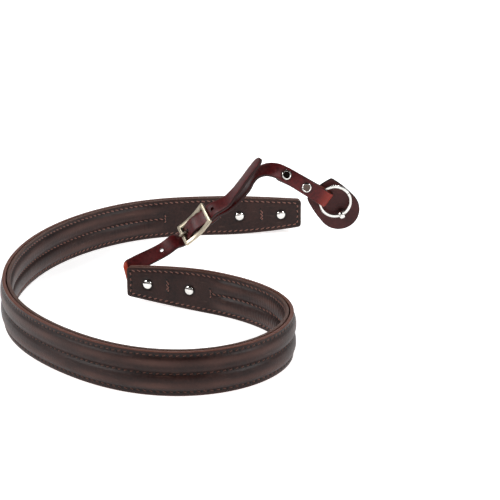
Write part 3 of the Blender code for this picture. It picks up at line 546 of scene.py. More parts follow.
def buildPadHalf(name, side, node):
    starts = pad["endSteps"]
    body = spread(starts[-1], pad["length"] - starts[-1], pad["station"])[1:-1]
    distances = starts + body + [pad["length"] - one for one in reversed(starts)]
    skin = Skin()
    for distance in distances:
        at, along, up, out = padFrame(distance)
        edge = padWidth(distance) / 2
        toEnd = min(distance, pad["length"] - distance)
        endRound = 1 - 0.06 * (1 - smooth(0.0, 0.0008, toEnd))
        section = [(edge - inset, pad["leather"] * share, 1.0) for inset, share in pad["edgeSteps"]]
        section += [(height, padDepth(distance, height, side), 0.0) for height in padHeights(edge)]
        section += [(-height, depth, 1.0) for height, depth, rim in reversed(section[:len(pad["edgeSteps"])])]
        for height, depth, rim in section:
            spot = at + up * height + out * (side * (pad["gap"] / 2 + depth * endRound))
            skin.add(spot, (distance, height), **padMarks(distance, height, rim, side))
    made = skin.make(name, len(distances), "padOuter" if side > 0 else "padInner")
    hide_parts(node)


buildPadHalf("padOuterLeather", 1, "pad_outer_leather")
buildPadHalf("padInnerLeather", -1, "pad_inner_leather")
print("pad made")


class Pool:
    # many small bodies gathered into one piece
    def __init__(self):
        self.points, self.faces, self.runs = [], [], []

    def grain(self, at, along, out, length, wide, high, sides=6, rings=5):
        # rounded stitch: a stretched bead lying along the leather
        side = out.cross(along)
        start = len(self.points)
        for ringIndex in range(rings):
            share = -1 + 2 * (ringIndex + 0.5) / rings
            swell = (1 - abs(share) ** 3.2) ** 0.5
            dive = -high * 0.75 * abs(share) ** 4
            for corner in range(sides):
                turn = 2 * math.pi * corner / sides
                across = side * (math.cos(turn) * wide / 2 * swell)
                upwards = out * (math.sin(turn) * high / 2 * swell + dive)
                self.points.append(at + along * (share * length / 2) + across + upwards)
                self.runs.append((share * length / 2, turn * wide / 6.28))
        self.faces += skinFaces(rings, sides, start=start)

    def build(self, name, paint, slot):
        made = makePiece(name, self.points, self.faces, paint, None, self.runs, 80)


stitch = {"pitch": 0.00345, "length": 0.0032, "wide": 0.00070, "high": 0.00062, "slant": 22.0,
          "holeLength": 0.00150, "holeWide": 0.00140, "holeHigh": 0.00034, "uprightShare": 0.72,
          "endLine": 0.0024, "endMargin": 0.0022, "seamPast": 0.003, "lockPast": 0.0045, "lockRow": 0.0018,
          "barLength": 0.0064, "bars": (0.0250, 0.0262), "barShift": (0.0007, 0.0009)}
# how the two faces' stitches lie: long and pale inside, short and dark between round holes outside
stitchWays = {
    -1: {"wide": 1.0, "length": 1.0, "proud": 0.00010, "holeProud": 0.00002, "thread": "paleThread"},
    1: {"wide": 0.85, "length": 0.86, "proud": 0.00002, "holeProud": 0.00010, "thread": "dimThread"},
}


def padSpot(distance, height, side):
    # point on the pad's face and its axes there
    at, along, up, out = padFrame(distance)
    depth = side * (pad["gap"] / 2 + padDepth(distance, height, side))
    return at + up * height + out * depth, along, up, out * side


def stitchRows():
    # (distance, height, upright) of the stitches of one face
    rows = []
    last = pad["length"] - stitch["endLine"]
    seamStart, seamEnd = pad["farChannelEnd"], pad["length"] - pad["nearChannelEnd"]
    count = round((last - stitch["endLine"]) / stitch["pitch"])
    for index in range(count):
        distance = stitch["endLine"] + (last - stitch["endLine"]) * (index + 0.5) / count
        rows.append((distance, rowLine(distance, 1), False))
        rows.append((distance, -rowLine(distance, -1), False))
        if seamStart - stitch["seamPast"] < distance < seamEnd + stitch["seamPast"]:
            rows.append((distance, 0.0, False))
    for distance in (stitch["endLine"], last):
        edge = padWidth(distance) / 2 - stitch["endMargin"]
        endCount = round(2 * edge / stitch["pitch"])
        for index in range(endCount):
            rows.append((distance, -edge + 2 * edge * (index + 0.5) / endCount, True))
    for distance in (stitch["bars"][0], pad["length"] - stitch["bars"][1]):
        for height in (-stitch["barLength"] / 3, 0.0, stitch["barLength"] / 3):
            rows.append((distance, height, True))
            rows.append((distance + stitch["barShift"][0], height + stitch["barShift"][1], True))
    for distance in (seamStart - stitch["lockPast"], seamEnd + stitch["lockPast"]):
        for height in (-stitch["lockRow"], 0.0, stitch["lockRow"]):
            rows.append((distance, height, True))
    return rows


def buildStitches(side, name):
    lie = stitchWays[side]
    thread, holeShades = Pool(), Pool()
    jitter = random.Random(21 + side)
    for distance, height, upright in stitchRows():
        at, along, up, out = padSpot(distance, height, side)
        slant = math.radians(stitch["slant"] * (1 if height >= 0 else -1) + jitter.uniform(-3, 3))
        runWay, crossWay = (up, along) if upright else (along, up)
        way = swing(runWay, crossWay, slant).normalized()
        length = stitch["length"] * (stitch["uprightShare"] if upright else 1.0) * lie["length"]
        thread.grain(at + out * lie["proud"], way, out, length, stitch["wide"] * lie["wide"], stitch["high"])
        reach = length * 1.12 if side < 0 or upright else stitch["pitch"]
        # dark beads at both ends of each stitch are painted shade standing for the inside of the needle holes
        for tip in (-0.5, 0.5):
            spot = at + way * (reach * tip) + out * lie["holeProud"]
            holeShades.grain(spot, way, out, stitch["holeLength"], stitch["holeWide"], stitch["holeHigh"], 8, 5)
    thread.build(name + "Stitches", lie["thread"], "pad_leather")
    holeShades.build(name + "NeedleHoleShade", "holeShade", "pad_leather")


buildStitches(-1, "padInner")
buildStitches(1, "padOuter")
print("pad stitches made")


strap = {"width": 0.0091, "thick": 0.0018, "edge": 0.00042, "dome": 0.00010, "station": 0.0010,
         "onPad": 0.0475, "free": 0.105, "foldRadius": 0.0021, "foldSteps": 28, "skived": 0.0012,
         "hole": 0.0023, "holePitch": 0.0200, "tipHoleShift": 0.0022, "prongHole": -0.0066,
         "prongSlot": 0.0034, "bulge": 0.00275, "dent": 0.00012}
ringStrap = {"length": 0.0965, "buckleTail": 0.0175, "ringTail": 0.0345, "station": 0.0012,
             "rivets": (0.0160, 0.0300), "tailStitches": (0.0135, 0.0158)}
buckle = {"at": 0.0483, "length": 0.0230, "width": 0.0146, "wire": 0.0020, "broad": 0.00284, "high": 0.00184,
          "slope": 0.00085, "corner": 0.0008, "raised": 0.30, "bar": 0.0018, "prong": 0.0014}
ring = {"outer": 0.0197, "wire": 0.0016, "play": 0.00042, "pastFold": 0.0031, "across": 0.0016,
        "coilStart": math.radians(70), "coilTurn": math.radians(716), "crossing": (0.455, 0.545),
        "bevel": 0.00022, "eyeWire": 0.0014, "eyeAngle": math.radians(-29.0), "eyeFoot": 0.0050,
        "eyeFootThick": 0.0006}
guard = {"thick": 0.0018, "width": 0.0244, "length": 0.0310, "top": 0.0192, "crown": 0.0014, "edge": 0.00055,
         "along": 0.0025, "across": -0.0031, "turn": math.radians(-13.5)}
rivetSize = {"cap": 0.0057, "post": 0.0024, "bentSeat": 0.00012, "sides": 40, "tip": 0.00002,
             # how high the cap below and the cap above stand, and how domed the upper one is
             "onPad": (0.0014, 0.0010, 1.0), "onRing": (0.0008, 0.0007, 0.45)}
gap = 0.0003

# each end: fold (past the pad's end, slope, sweep, lift) and two routes of (along, across, up, turn),
# as shares of the strap's length
viewTilt = math.radians(20)
nearRoute = {
    "name": "near", "padEnd": pad["length"], "facing": 1,
    "turnFrom": Vector((0.0, -math.cos(viewTilt), math.sin(viewTilt))), "fold": (0.0004, 29.0, 160.0, 0.0040),
    "strap": ((0, 0, 0, 0), (0.084, 0.009, 0.042, -16), (0.141, 0.019, 0.068, -24),
              (0.198, 0.033, 0.096, -24), (0.256, 0.048, 0.134, -26), (0.318, 0.067, 0.163, -36),
              (0.385, 0.050, 0.237, -36), (0.452, 0.033, 0.311, -36), (0.546, 0.016, 0.380, -50),
              (0.594, 0.011, 0.438, -62), (0.644, 0.011, 0.508, -66), (0.699, 0.016, 0.583, -66),
              (0.737, 0.021, 0.630, -66)),
    "ring": ((0.178, -0.004, 0.120, -44), (0.226, 0.000, 0.152, -54), (0.268, 0.000, 0.194, -62),
             (0.303, 0.000, 0.237, -64), (0.327, -0.001, 0.284, -64), (0.361, -0.003, 0.326, -60),
             (0.416, -0.006, 0.354, -42), (0.476, -0.008, 0.351, -24), (0.536, -0.008, 0.323, -9),
             (0.599, -0.008, 0.286, 3), (0.659, -0.008, 0.247, 11), (0.723, -0.008, 0.206, 15),
             (0.775, -0.008, 0.170, 17)),
}
farRoute = {
    "name": "far", "padEnd": 0.0, "facing": -1, "turnFrom": Vector((0.0, 0.0, 1.0)),
    "fold": (-0.0030, 10.0, 176.0, 0.0),
    "strap": ((0, 0, 0, -90), (-0.105, 0.029, -0.018, -82), (-0.220, 0.058, -0.036, -52),
              (-0.325, 0.081, -0.045, -20), (-0.385, 0.095, -0.046, 0), (-0.443, 0.105, -0.046, 0),
              (-0.535, 0.113, -0.043, 0), (-0.590, 0.117, -0.032, 0), (-0.690, 0.119, -0.045, 0),
              (-0.805, 0.116, -0.073, 0), (-0.918, 0.104, -0.075, 0), (-0.985, 0.095, -0.066, 0)),
    "ring": ((-0.239, 0.008, -0.035, 0), (-0.335, -0.004, -0.055, 0), (-0.452, -0.034, -0.059, 0),
             (-0.533, -0.067, -0.052, 0), (-0.619, -0.113, -0.031, 0), (-0.712, -0.182, -0.015, 0),
             (-0.797, -0.268, 0.006, 0), (-0.845, -0.330, 0.014, 0)),
}
strapDepth = gap / 2 + pad["leather"] + gap + strap["thick"] / 2
barDepth = strap["bulge"] - strap["thick"] / 2 - 3 * gap - strap["skived"] - buckle["bar"] / 2
wrapRadius = buckle["bar"] / 2 + 1.5 * gap + strap["skived"] / 2
loopRadius = ring["wire"] / 2 + ring["play"] + strap["thick"] / 2
ringRadius = (ring["outer"] - ring["wire"]) / 2
ringAhead = loopRadius + strap["thick"] / 2 + ring["pastFold"]
endBarDepth = strap["thick"] / 2 + gap + buckle["wire"] / 2
railDepth = barDepth + buckle["bar"] / 2 + buckle["wire"] * 0.2
guardFront = -(loopRadius + strap["thick"] / 2 + gap)
capDentSize = rivetSize["cap"] / 2 + 0.0002
cutReach = 0.004                                # cutters of the holes reach this far each way
tipSteps = (0.0, 0.0002, 0.0006, 0.0012)        # rows at a strap's end, from its tip
ringPull = 0.32                                 # how red the fold at the ring is pulled


class Run:
    # smooth run of a strap, sampled by distance
    def __init__(self, points, turns, turnFrom):
        self.points, self.turns, self.turnFrom = points, turns, turnFrom
        self.keys = lengthsAlong(points)
        self.length = self.keys[-1]

    def at(self, distance):
        return through(self.keys, self.points, min(max(distance, 0.0), self.length))

    def frame(self, distance):
        ahead = self.at(min(distance + 0.0004, self.length))
        behind = self.at(max(distance - 0.0004, 0.0))
        along = (ahead - behind).normalized()
        flat = (self.turnFrom - along * self.turnFrom.dot(along)).normalized()
        turn = through(self.keys, self.turns, min(max(distance, 0.0), self.length))
        out = Matrix.Rotation(math.radians(turn), 3, along) @ flat
        return self.at(distance), along, out.cross(along), out


def bulgeAt(distance):
    reach = buckle["length"] / 2 - buckle["wire"] / 2
    if abs(distance) >= reach:
        return 0.0
    return strap["bulge"] * (1 + math.cos(math.pi * distance / reach)) / 2


def ringThick(distance):
    return strap["skived"] + (strap["thick"] - strap["skived"]) * smooth(0.004, 0.014, distance)


def underStrap(distance):
    # how far out the ring strap's start lies, under the raised adjuster strap
    clear = (strap["thick"] + ringThick(distance)) / 2 + gap
    return bulgeAt(distance) - clear - 0.00035 * math.sin(math.pi * min(distance / 0.0095, 1.0)) - gap


class End:
    # everything that hangs on one end of the pad
    def __init__(self, route):
        self.route = route
        self.name = route["name"]
        self.foldPoints()
        stations = [Vector(row[:3]) for row in route["strap"]]
        size = strap["free"] / sum((two - one).length for one, two in zip(stations, stations[1:]))
        stations = [self.fold[0][-1] + station * size for station in stations]
        along = (self.fold[0][-1] - self.fold[0][-2]).normalized()
        leaving = self.turnOf(along, self.fold[1][-1])
        drawn = Run(stations, [leaving] + [row[3] for row in route["strap"]][1:], route["turnFrom"])
        self.buckle = drawn.frame(buckle["at"])
        self.buckleTurn = self.turnOf(self.buckle[1], self.buckle[3])
        self.strapRun = self.straightened(drawn)
        starts = [0.0, 0.0030, 0.0062, 0.0095, 0.0118]
        points = [self.inBuckle(place, 0.0, underStrap(place)) for place in starts]
        points[0] = self.inBuckle(0.0, 0.0, barDepth + wrapRadius)
        turns = [self.buckleTurn] * len(starts)
        for row in route["ring"]:
            points.append(self.buckle[0] + Vector(row[:3]) * ringStrap["length"])
            turns.append(row[3])
        self.ringRun = Run(points, turns, route["turnFrom"])
        at, along, across, out = self.ringRun.frame(self.ringRun.length)
        self.ringFrame = (at - out * loopRadius, along, across, out)
        self.ringCentre = self.ringFrame[0] + along * ringAhead + across * ring["across"]
        self.eyeOut = swing(along, across, ring["eyeAngle"])
        self.eyeAt = self.ringCentre + self.eyeOut * ringRadius

    def onPad(self, inwards, depth):
        at, along, up, out = padFrame(self.route["padEnd"] - self.route["facing"] * inwards)
        along = along * self.route["facing"]
        return at + out * depth, along, out.cross(along), out

    def foldPoints(self):
        # round the pad's end: (points, outs, across), climbing sideways with the slope and the lift
        past, slope, sweep, lift = self.route["fold"]
        sweep = math.radians(sweep)
        lean = math.radians(slope) / 2
        at, along, across, out = self.onPad(0.0, strapDepth)
        radius = strap["foldRadius"]
        axis = swing(across, along, lean)
        forward = swing(along, across, -lean)
        centre = at + along * past + out * radius
        points, outs = [], []
        for step in range(strap["foldSteps"] + 1):
            turn = sweep * step / strap["foldSteps"]
            radial = forward * math.sin(turn) - out * math.cos(turn)
            climb = axis * (radius * math.tan(lean) * turn + lift * smooth(0, sweep, turn))
            points.append(centre + radial * radius + climb)
            outs.append(-radial)
        self.fold = (points, outs, axis / math.cos(lean))

    def turnOf(self, along, out):
        # degrees about the strap's own way, from the side that the route's turns start at
        flat = (self.route["turnFrom"] - along * self.route["turnFrom"].dot(along)).normalized()
        return math.degrees(math.atan2(out.dot(along.cross(flat)), out.dot(flat)))

    def straightened(self, drawn):
        # the same run, straight through the buckle
        half = buckle["length"] / 2
        places = [share * half for share in (-1.12, -0.9, 0.0, 0.9, 1.12)]
        knots = list(zip(drawn.keys, drawn.points, drawn.turns))
        before = [knot[1:] for knot in knots if knot[0] < buckle["at"] - 1.5 * half]
        after = [knot[1:] for knot in knots if knot[0] > buckle["at"] + 1.5 * half]
        middle = [(self.buckle[0] + self.buckle[1] * place, self.buckleTurn) for place in places]
        points, turns = zip(*before, *middle, *after)
        return Run(points, turns, self.route["turnFrom"])

    def inBuckle(self, along, across, out):
        return self.buckle[0] + self.buckle[1] * along + self.buckle[2] * across + self.buckle[3] * out


def roundEnd(distance, width):
    radius = width / 2
    if distance >= radius:
        return width
    return 2 * math.sqrt(max(radius ** 2 - (radius - distance) ** 2, (radius * 0.05) ** 2))


def strapSection(width, thick):
    # (across, out, rim, flesh) round the strap: domed grain side, dressed edges, flat flesh side
    w, t = width / 2, thick / 2
    r = min(strap["edge"], t * 0.6, w * 0.5)
    f = r * 0.45
    section = []
    for step in range(4):
        turn = math.pi / 2 * step / 3
        section.append((w - r + r * math.cos(turn), t - r + r * math.sin(turn), 1 - step / 3, 0.0))
    for share in (0.6, 0.2, -0.2, -0.6):
        section.append(((w - r) * share, t + strap["dome"] * (1 - share ** 2), 0.0, 0.0))
    for step in range(4):
        turn = math.pi / 2 * (1 + step / 3)
        section.append((-w + r + r * math.cos(turn), t - r + r * math.sin(turn), step / 3, 0.0))
    for step in range(3):
        turn = math.pi * (1 + step / 4)
        section.append((-w + f + f * math.cos(turn), -t + f + f * math.sin(turn), 1 - step / 2, step / 2))
    for share in (-0.5, 0.0, 0.5):
        section.append(((w - f) * share, -t, 0.0, 1.0))
    for step in range(3):
        turn = math.pi * (1.5 + step / 4)
        section.append((w - f + f * math.cos(turn), -t + f + f * math.sin(turn), step / 2, 1 - step / 2))
    return section


def sweepStrap(name, rows, dents):
    # rows: point, out, width, thick, slant, pull (leather pulled red)
    # dents: (place, size) pressed by a cap
    skin = Skin()
    distance = 0.0
    for index, (point, out, width, thick, slant, pull) in enumerate(rows):
        before = rows[max(index - 1, 0)][0]
        after = rows[min(index + 1, len(rows) - 1)][0]
        one, two = point - before, after - point
        distance += one.length
        along = (after - before).normalized()
        across = slant
        if not slant:
            out = (out - along * out.dot(along)).normalized()
            across = out.cross(along)
        curve = 0.0
        if one.length > 1e-6 and two.length > 1e-6:
            curve = one.angle(two, 0.0) / (one.length + two.length) * 2
        for w, g, rim, flesh in strapSection(width, thick):
            spot = point + across * w + out * g
            # painted shade in the dents round the rivet caps
            sunk = max((bell((spot - place).length - size, 0.0006) for place, size in dents), default=0.0)
            skin.add(spot - out * (strap["dent"] * sunk), (distance, w), flesh=flesh, bend=pull,
                     rim=rim * (1 - 0.7 * pull), press=0.8 * sunk,
                     crease=0.08 + 0.92 * smooth(25.0, 200.0, curve))
    made = skin.make(name, len(rows), "strap")
    return made


def buildAdjusterStrap(end):
    width, thick = strap["width"], strap["thick"]
    rows = []
    inwards = [strap["onPad"] - one for one in (0.0, 0.0001, 0.0003, 0.0006, 0.001, 0.0016, 0.0024, 0.0034)]
    inwards += spread(inwards[-1], 0.0022, strap["station"])[1:]
    for place in inwards:
        at, along, across, out = end.onPad(place, strapDepth)
        tip = roundEnd(strap["onPad"] - place, width)
        rows.append((at, out, tip, thick, None, 0.9 * (1 - smooth(0.0, 0.003, place))))
    points, outs, slant = end.fold
    for index, (point, out) in enumerate(zip(points, outs)):
        rows.append((point, out, width, thick, slant, 1 - smooth(0.62, 1.0, index / len(points))))
    length = end.strapRun.length
    places = spread(0.0, length - width / 2, strap["station"])[2:]
    tipShares = (0.42, 0.34, 0.26, 0.19, 0.13, 0.08, 0.045, 0.02, 0.006, 0.0)
    places += [length - width * share for share in tipShares]
    for place in places:
        at, along, across, out = end.strapRun.frame(place)
        lifted = at + out * bulgeAt(place - buckle["at"])
        rows.append((lifted, out, roundEnd(length - place, width), thick, None, 0.0))
    dents = [(end.onPad(place, strapDepth + thick / 2)[0], capDentSize) for place in pad["rivets"]]
    prongHole = buckle["at"] + strap["prongHole"]
    cutters = []
    for place in (prongHole - strap["holePitch"], prongHole + strap["holePitch"] + strap["tipHoleShift"]):
        at, along, across, out = end.strapRun.frame(place)
        dents.append((at + out * thick / 2, strap["hole"] / 2 + 0.0001))
        cutters.append(rod(at - out * cutReach, at + out * cutReach, strap["hole"] / 2))
    middle = end.inBuckle(strap["prongHole"], 0.0, bulgeAt(strap["prongHole"]))
    reach = end.buckle[3] * cutReach
    cutters.append(rod(middle - reach, middle + reach, strap["hole"] / 2,
                       long=strap["prongSlot"] - strap["hole"], longAxis=end.buckle[1]))
    made = sweepStrap(end.name + "AdjusterStrap", rows, dents)
    cutHoles(made, cutters)
    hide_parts(end.name + "_adjuster_strap")


def buildRingStrap(end):
    run = end.ringRun
    width, thick = strap["width"], strap["thick"]
    rows = []
    places = spread(0.0, run.length, ringStrap["station"])
    tail = [place for place in places if 0.0008 < place < ringStrap["buckleTail"] - 0.0022]
    tips = [ringStrap["buckleTail"] - one for one in tipSteps]
    for place in tips + tail[::-1]:
        at, along, across, out = run.frame(place)
        slim = ringThick(place)
        apart = max(slim + gap, 2 * wrapRadius * (1 - smooth(0.0, 0.010, place)))
        tip = max(roundEnd(ringStrap["buckleTail"] - place, width), width * 0.6)
        rows.append((at - out * apart, -out, tip, slim, None, 0.0))
    bar = end.inBuckle(0.0, 0.0, barDepth)
    for step in range(13):
        angle = math.radians(-90 - 12.5 * step)
        radial = swing(end.buckle[1], end.buckle[3], angle)
        rows.append((bar + radial * wrapRadius, radial, width, strap["skived"], None, 0.4))
    for place in places:
        at, along, across, out = run.frame(place)
        pull = ringPull * smooth(run.length - 0.0045, run.length, place)
        rows.append((at, out, width, ringThick(place), None, pull))
    middle, along, across, out = end.ringFrame
    for step in range(15):
        angle = math.radians(78 - 156 * step / 14)
        radial = swing(along, out, angle)
        rows.append((middle + radial * loopRadius, radial, width, thick, None, ringPull))
    backs = [run.length - place for place in reversed(places)]
    backs = [back for back in backs if back < ringStrap["ringTail"] - 0.0022]
    backs += [ringStrap["ringTail"] - one for one in reversed(tipSteps)]
    for back in backs:
        at, along, across, out = run.frame(run.length - back)
        apart = thick + gap + (2 * loopRadius - thick - gap) * (1 - smooth(0.003, 0.0095, back))
        tip = max(roundEnd(ringStrap["ringTail"] - back, width), width * 0.6)
        rows.append((at - out * apart, -out, tip, thick, None, 0.0))
    dents = []
    for title, (at, along, across, out) in ringRivetFrames(end):
        dents.append((at + out * thick / 2, capDentSize))
        dents.append((at - out * (1.5 * thick + gap), capDentSize))
    made = sweepStrap(end.name + "RingStrap", rows, dents)
    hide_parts(end.name + "_ring_strap")


def ringRivetFrames(end):
    frames = []
    for number, back in enumerate(ringStrap["rivets"], start=1):
        place = end.ringRun.length + loopRadius + strap["thick"] / 2 - back
        frames.append((f"{end.name}_ring_rivet_{number}", end.ringRun.frame(place)))
    return frames


def turnedBody(at, along, out, profile, sides):
    # (radius, height) turned about out; returns points and faces
    across = out.cross(along)
    points = []
    for radius, height in profile:
        for side in range(sides):
            turn = 2 * math.pi * side / sides
            points.append(at + swing(along, across, turn) * radius + out * height)
    return points, skinFaces(len(profile), sides)


def capProfile(foot, rise, away, dome=1.0):
    # cap from its seat to its crown, domed or flatter; away is 1 upwards and -1 downwards
    radius = rivetSize["cap"] / 2
    profile = [(radius * wide, foot + away * rise * high)
               for wide, high in ((0.97, 0), (1, 0.14), (0.985, 0.26))]
    for step in range(1, 9):
        turn = math.pi / 2 * step / 8
        wide = max(radius * 0.95 * math.cos(turn), rivetSize["tip"])
        profile.append((wide, foot + away * rise * (0.30 + 0.70 * math.sin(turn) ** dome)))
    return profile


def buildRivet(name, frameAt, below, above, rises, node):
    at, along, across, out = frameAt
    lowRise, highRise, dome = rises
    radius, post = rivetSize["cap"] / 2, rivetSize["post"] / 2
    lowSeat, highSeat = -below - gap * 0.4, above + gap * 0.4
    high = capProfile(highSeat, highRise, 1, dome)
    shaded = 0
    if dome < 1:
        # a flat cap is hollow in its middle, with painted shade and a painted dark reflection there
        high = [spot for spot in high if spot[0] > radius * 0.80]
        top = highSeat + highRise
        high += [(radius * 0.76, top), (radius * 0.72, top - 0.00008)]
        high += [(radius * 0.69, top - 0.00026), (rivetSize["tip"], top - 0.00034)]
        shaded = 2
    profile = capProfile(lowSeat, lowRise, -1)[::-1] + [(post, lowSeat), (post, highSeat)] + high
    points, faces = turnedBody(at, along, out, profile, rivetSize["sides"])
    plain = len(profile) - shaded
    shade = [0.0] * (plain * rivetSize["sides"]) + [1.0] * (shaded * rivetSize["sides"])
    made = makePiece(name, points, faces, "bright", {"press": shade})
    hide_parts(node)


def sweepWire(points, normals, section, closed=False, sizes=None):
    # section: (side, up) pairs swept along points
    rings = []
    count = len(points)
    for index, point in enumerate(points):
        before = points[index - 1] if (closed or index) else point
        after = points[(index + 1) % count] if (closed or index < count - 1) else point
        along = (after - before).normalized()
        up = (normals[index] - along * normals[index].dot(along)).normalized()
        side = up.cross(along)
        size = sizes[index] if sizes else 1.0
        rings += [point + side * (s * size) + up * (u * size) for s, u in section]
    return rings, skinFaces(count, len(section), closed)


def roundSection(wide, high, sides=16):
    turns = [2 * math.pi * side / sides for side in range(sides)]
    return [(math.cos(turn) * wide / 2, math.sin(turn) * high / 2) for turn in turns]


def bevelSection(wide, high, bevel):
    w, h, b = wide / 2, high / 2, bevel
    quarter = [(w, h - b), (w - b * 0.3, h - b * 0.3), (w - b, h)]
    upper = quarter + [(-across, up) for across, up in reversed(quarter)]
    return upper + [(-across, -up) for across, up in upper]


def buildWirePiece(name, body, paint, node, sharpAngle=50):
    made = makePiece(name, *body, paint, sharpAngle=sharpAngle)
    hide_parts(node)


def joined(parts):
    points, faces = [], []
    for partPoints, partFaces in parts:
        start = len(points)
        points += partPoints
        faces += [tuple(start + corner for corner in face) for face in partFaces]
    return points, faces


def buildBuckle(end):
    halfLength = (buckle["length"] - buckle["broad"]) / 2
    halfWidth = (buckle["width"] - buckle["broad"]) / 2
    # (inwards, up): flat face, wide slope towards the window, small bevel outside
    w, h, slope = buckle["broad"] / 2, buckle["high"] / 2, buckle["slope"]
    section = [(w, h - slope), (w - 0.00010, h - 0.8 * slope), (w - slope, h), (-w + 0.00040, h),
               (-w + 0.00012, h - 0.00012), (-w, h - 0.00045), (-w, -h + 0.0003), (-w + 0.0003, -h),
               (w - 0.0003, -h), (w, -h + 0.0003)]
    # (share of the half length, rail's sign, turn in the corner or None)
    places = []
    for quarter, (signLength, signWidth) in enumerate(((1, 1), (-1, 1), (-1, -1), (1, -1))):
        places += [(signLength, signWidth, math.pi / 2 * (quarter + step / 6)) for step in range(7)]
        if quarter in (0, 2):
            places += [(signLength * (0.80 - 1.6 * step / 16), signWidth, None) for step in range(17)]
    points = []
    for lengthShare, signWidth, turn in places:
        for inwards, up in section:
            corner = buckle["corner"] - 0.15 * inwards
            length = lengthShare * halfLength
            width = signWidth * (halfWidth - inwards)
            if turn is not None:
                length = lengthShare * (halfLength - inwards - corner) + corner * math.cos(turn)
                width = signWidth * (halfWidth - inwards - corner) + corner * math.sin(turn)
            lift = buckle["raised"] + (1 - buckle["raised"]) * min(abs(length) / halfLength, 1.0) ** 2
            points.append(end.inBuckle(length, width, railDepth + (endBarDepth - railDepth) * lift + up))
    body = (points, skinFaces(len(places), len(section), True))
    rise = (endBarDepth - railDepth) * buckle["raised"]
    barPoints = [end.inBuckle(0.0, halfWidth * share, barDepth + rise * max(abs(share) - 0.78, 0.0) / 0.22)
                 for share in (-1.0, -0.85, -0.78, -0.5, 0.0, 0.5, 0.78, 0.85, 1.0)]
    section = roundSection(buckle["bar"], buckle["bar"], 20)
    bar = sweepWire(barPoints, [end.buckle[3]] * len(barPoints), section)
    buildWirePiece(end.name + "BuckleFrame", joined([body, bar]), "nickel",
                   end.name + "_buckle_frame", 32)


def buildProng(end):
    # once round the centre bar, up through the strap's hole and onto the end bar
    wire = buckle["prong"]
    eye = buckle["bar"] / 2 + gap + wire / 2
    path = []
    for turn in (150, 110, 70, 30, -10, -50, -90, -130, -165):
        angle = math.radians(turn)
        path.append(Vector((eye * math.cos(angle), barDepth + eye * math.sin(angle))))
    overBar = endBarDepth + buckle["wire"] / 2 + gap + wire / 2
    barPlace = -(buckle["length"] - buckle["wire"]) / 2
    under = -strap["thick"] / 2 - gap - wire / 2
    hole = strap["prongHole"]
    path += [Vector(spot) for spot in (
        (-0.0036, under * 0.98), (-0.0050, under * 0.75), (hole + 0.0006, under * 0.1),
        (hole - 0.0003, overBar * 0.40), (hole - 0.0011, overBar * 0.78), (barPlace + 0.0010, overBar * 0.97),
        (barPlace, overBar), (barPlace - 0.0016, overBar * 0.93))]
    keys = lengthsAlong(path)
    points, sizes = [], []
    for sample in spread(0.0, keys[-1], 0.00035):
        spot = through(keys, path, sample)
        points.append(end.inBuckle(spot.x, 0.0, spot.y))
        sizes.append(min(1.0, 0.35 + 0.65 * smooth(0.0, 0.0007, keys[-1] - sample)))
    body = sweepWire(points, [end.buckle[2]] * len(points), roundSection(wire, wire), False, sizes)
    buildWirePiece(end.name + "BuckleProng", body, "nickel", end.name + "_buckle_prong")


def buildSplitRing(end):
    # two coils of flat wire, one over the other, with their two ends showing
    middle, along, across, out = end.ringFrame
    coil = ring["wire"] / 2
    steps = 150
    points = []
    for step in range(steps + 1):
        share = step / steps
        turn = ring["coilStart"] + share * ring["coilTurn"]
        lift = -coil / 2 + coil * smooth(*ring["crossing"], share)
        points.append(end.ringCentre + swing(along, across, turn) * ringRadius + out * lift)
    section = bevelSection(ring["wire"] * 0.96, coil * 0.94, ring["bevel"])
    body = sweepWire(points, [out] * len(points), section)
    buildWirePiece(end.name + "SplitRing", body, "bright", end.name + "_split_ring", 40)


def buildRingEye(end):
    out = end.ringFrame[3]
    radius = ring["wire"] / 2 + gap + ring["eyeWire"] / 2
    turns = [2 * math.pi * step / 32 for step in range(32)]
    points = [end.eyeAt + swing(end.eyeOut, out, turn) * radius for turn in turns]
    section = roundSection(ring["eyeWire"], ring["eyeWire"] * 2.2, 16)
    hoop = sweepWire(points, [out.cross(end.eyeOut)] * len(points), section, True)
    # (radius, height): foot behind the guard, post through it, washer on its face
    back = guardFront - guard["thick"] - gap
    thick, foot, post = ring["eyeFootThick"], ring["eyeFoot"] / 2, ring["eyeWire"] * 0.6
    tip = rivetSize["tip"]
    face = guardFront + 0.00006
    washer = guardFront + 0.00045
    profile = ((tip, back - thick), (foot * 0.9, back - thick), (foot, back - thick * 0.6), (foot, back),
               (post, back), (post, face), (post * 1.9, face), (post * 1.9, washer - 0.0001),
               (post * 1.7, washer), (post, washer), (post * 0.9, -radius), (tip, -radius))
    stem = turnedBody(end.eyeAt, end.eyeOut, out, profile, 28)
    buildWirePiece(end.name + "RingEye", joined([hoop, stem]), "bright",
                   end.name + "_ring_eye", 45)


def guardOutline():
    # (along, across), once round: round end, one full side, crowned top, other side
    radius = guard["width"] / 2
    centre = guard["length"] / 2 - radius
    top = -guard["length"] / 2 + guard["crown"]
    corner = guard["top"] / 2
    turns = [math.pi * (step / 40 - 0.5) for step in range(41)]
    roundEdge = [(centre + radius * math.cos(turn), radius * math.sin(turn)) for turn in turns]
    side = [(centre + (top - centre) * share, radius - (radius - corner) * share ** 2)
            for share in [step / 14 for step in range(1, 14)]]
    side += [(top + 0.0004, corner * 0.992), (top - 0.0001, corner * 0.96), (top - 0.0003, corner * 0.91)]
    crown = [(top - guard["crown"] * (1 - share ** 2), corner * share)
             for share in [0.8 - 0.1 * step for step in range(17)]]
    return roundEdge + side + crown + [(along, -across) for along, across in reversed(side)]


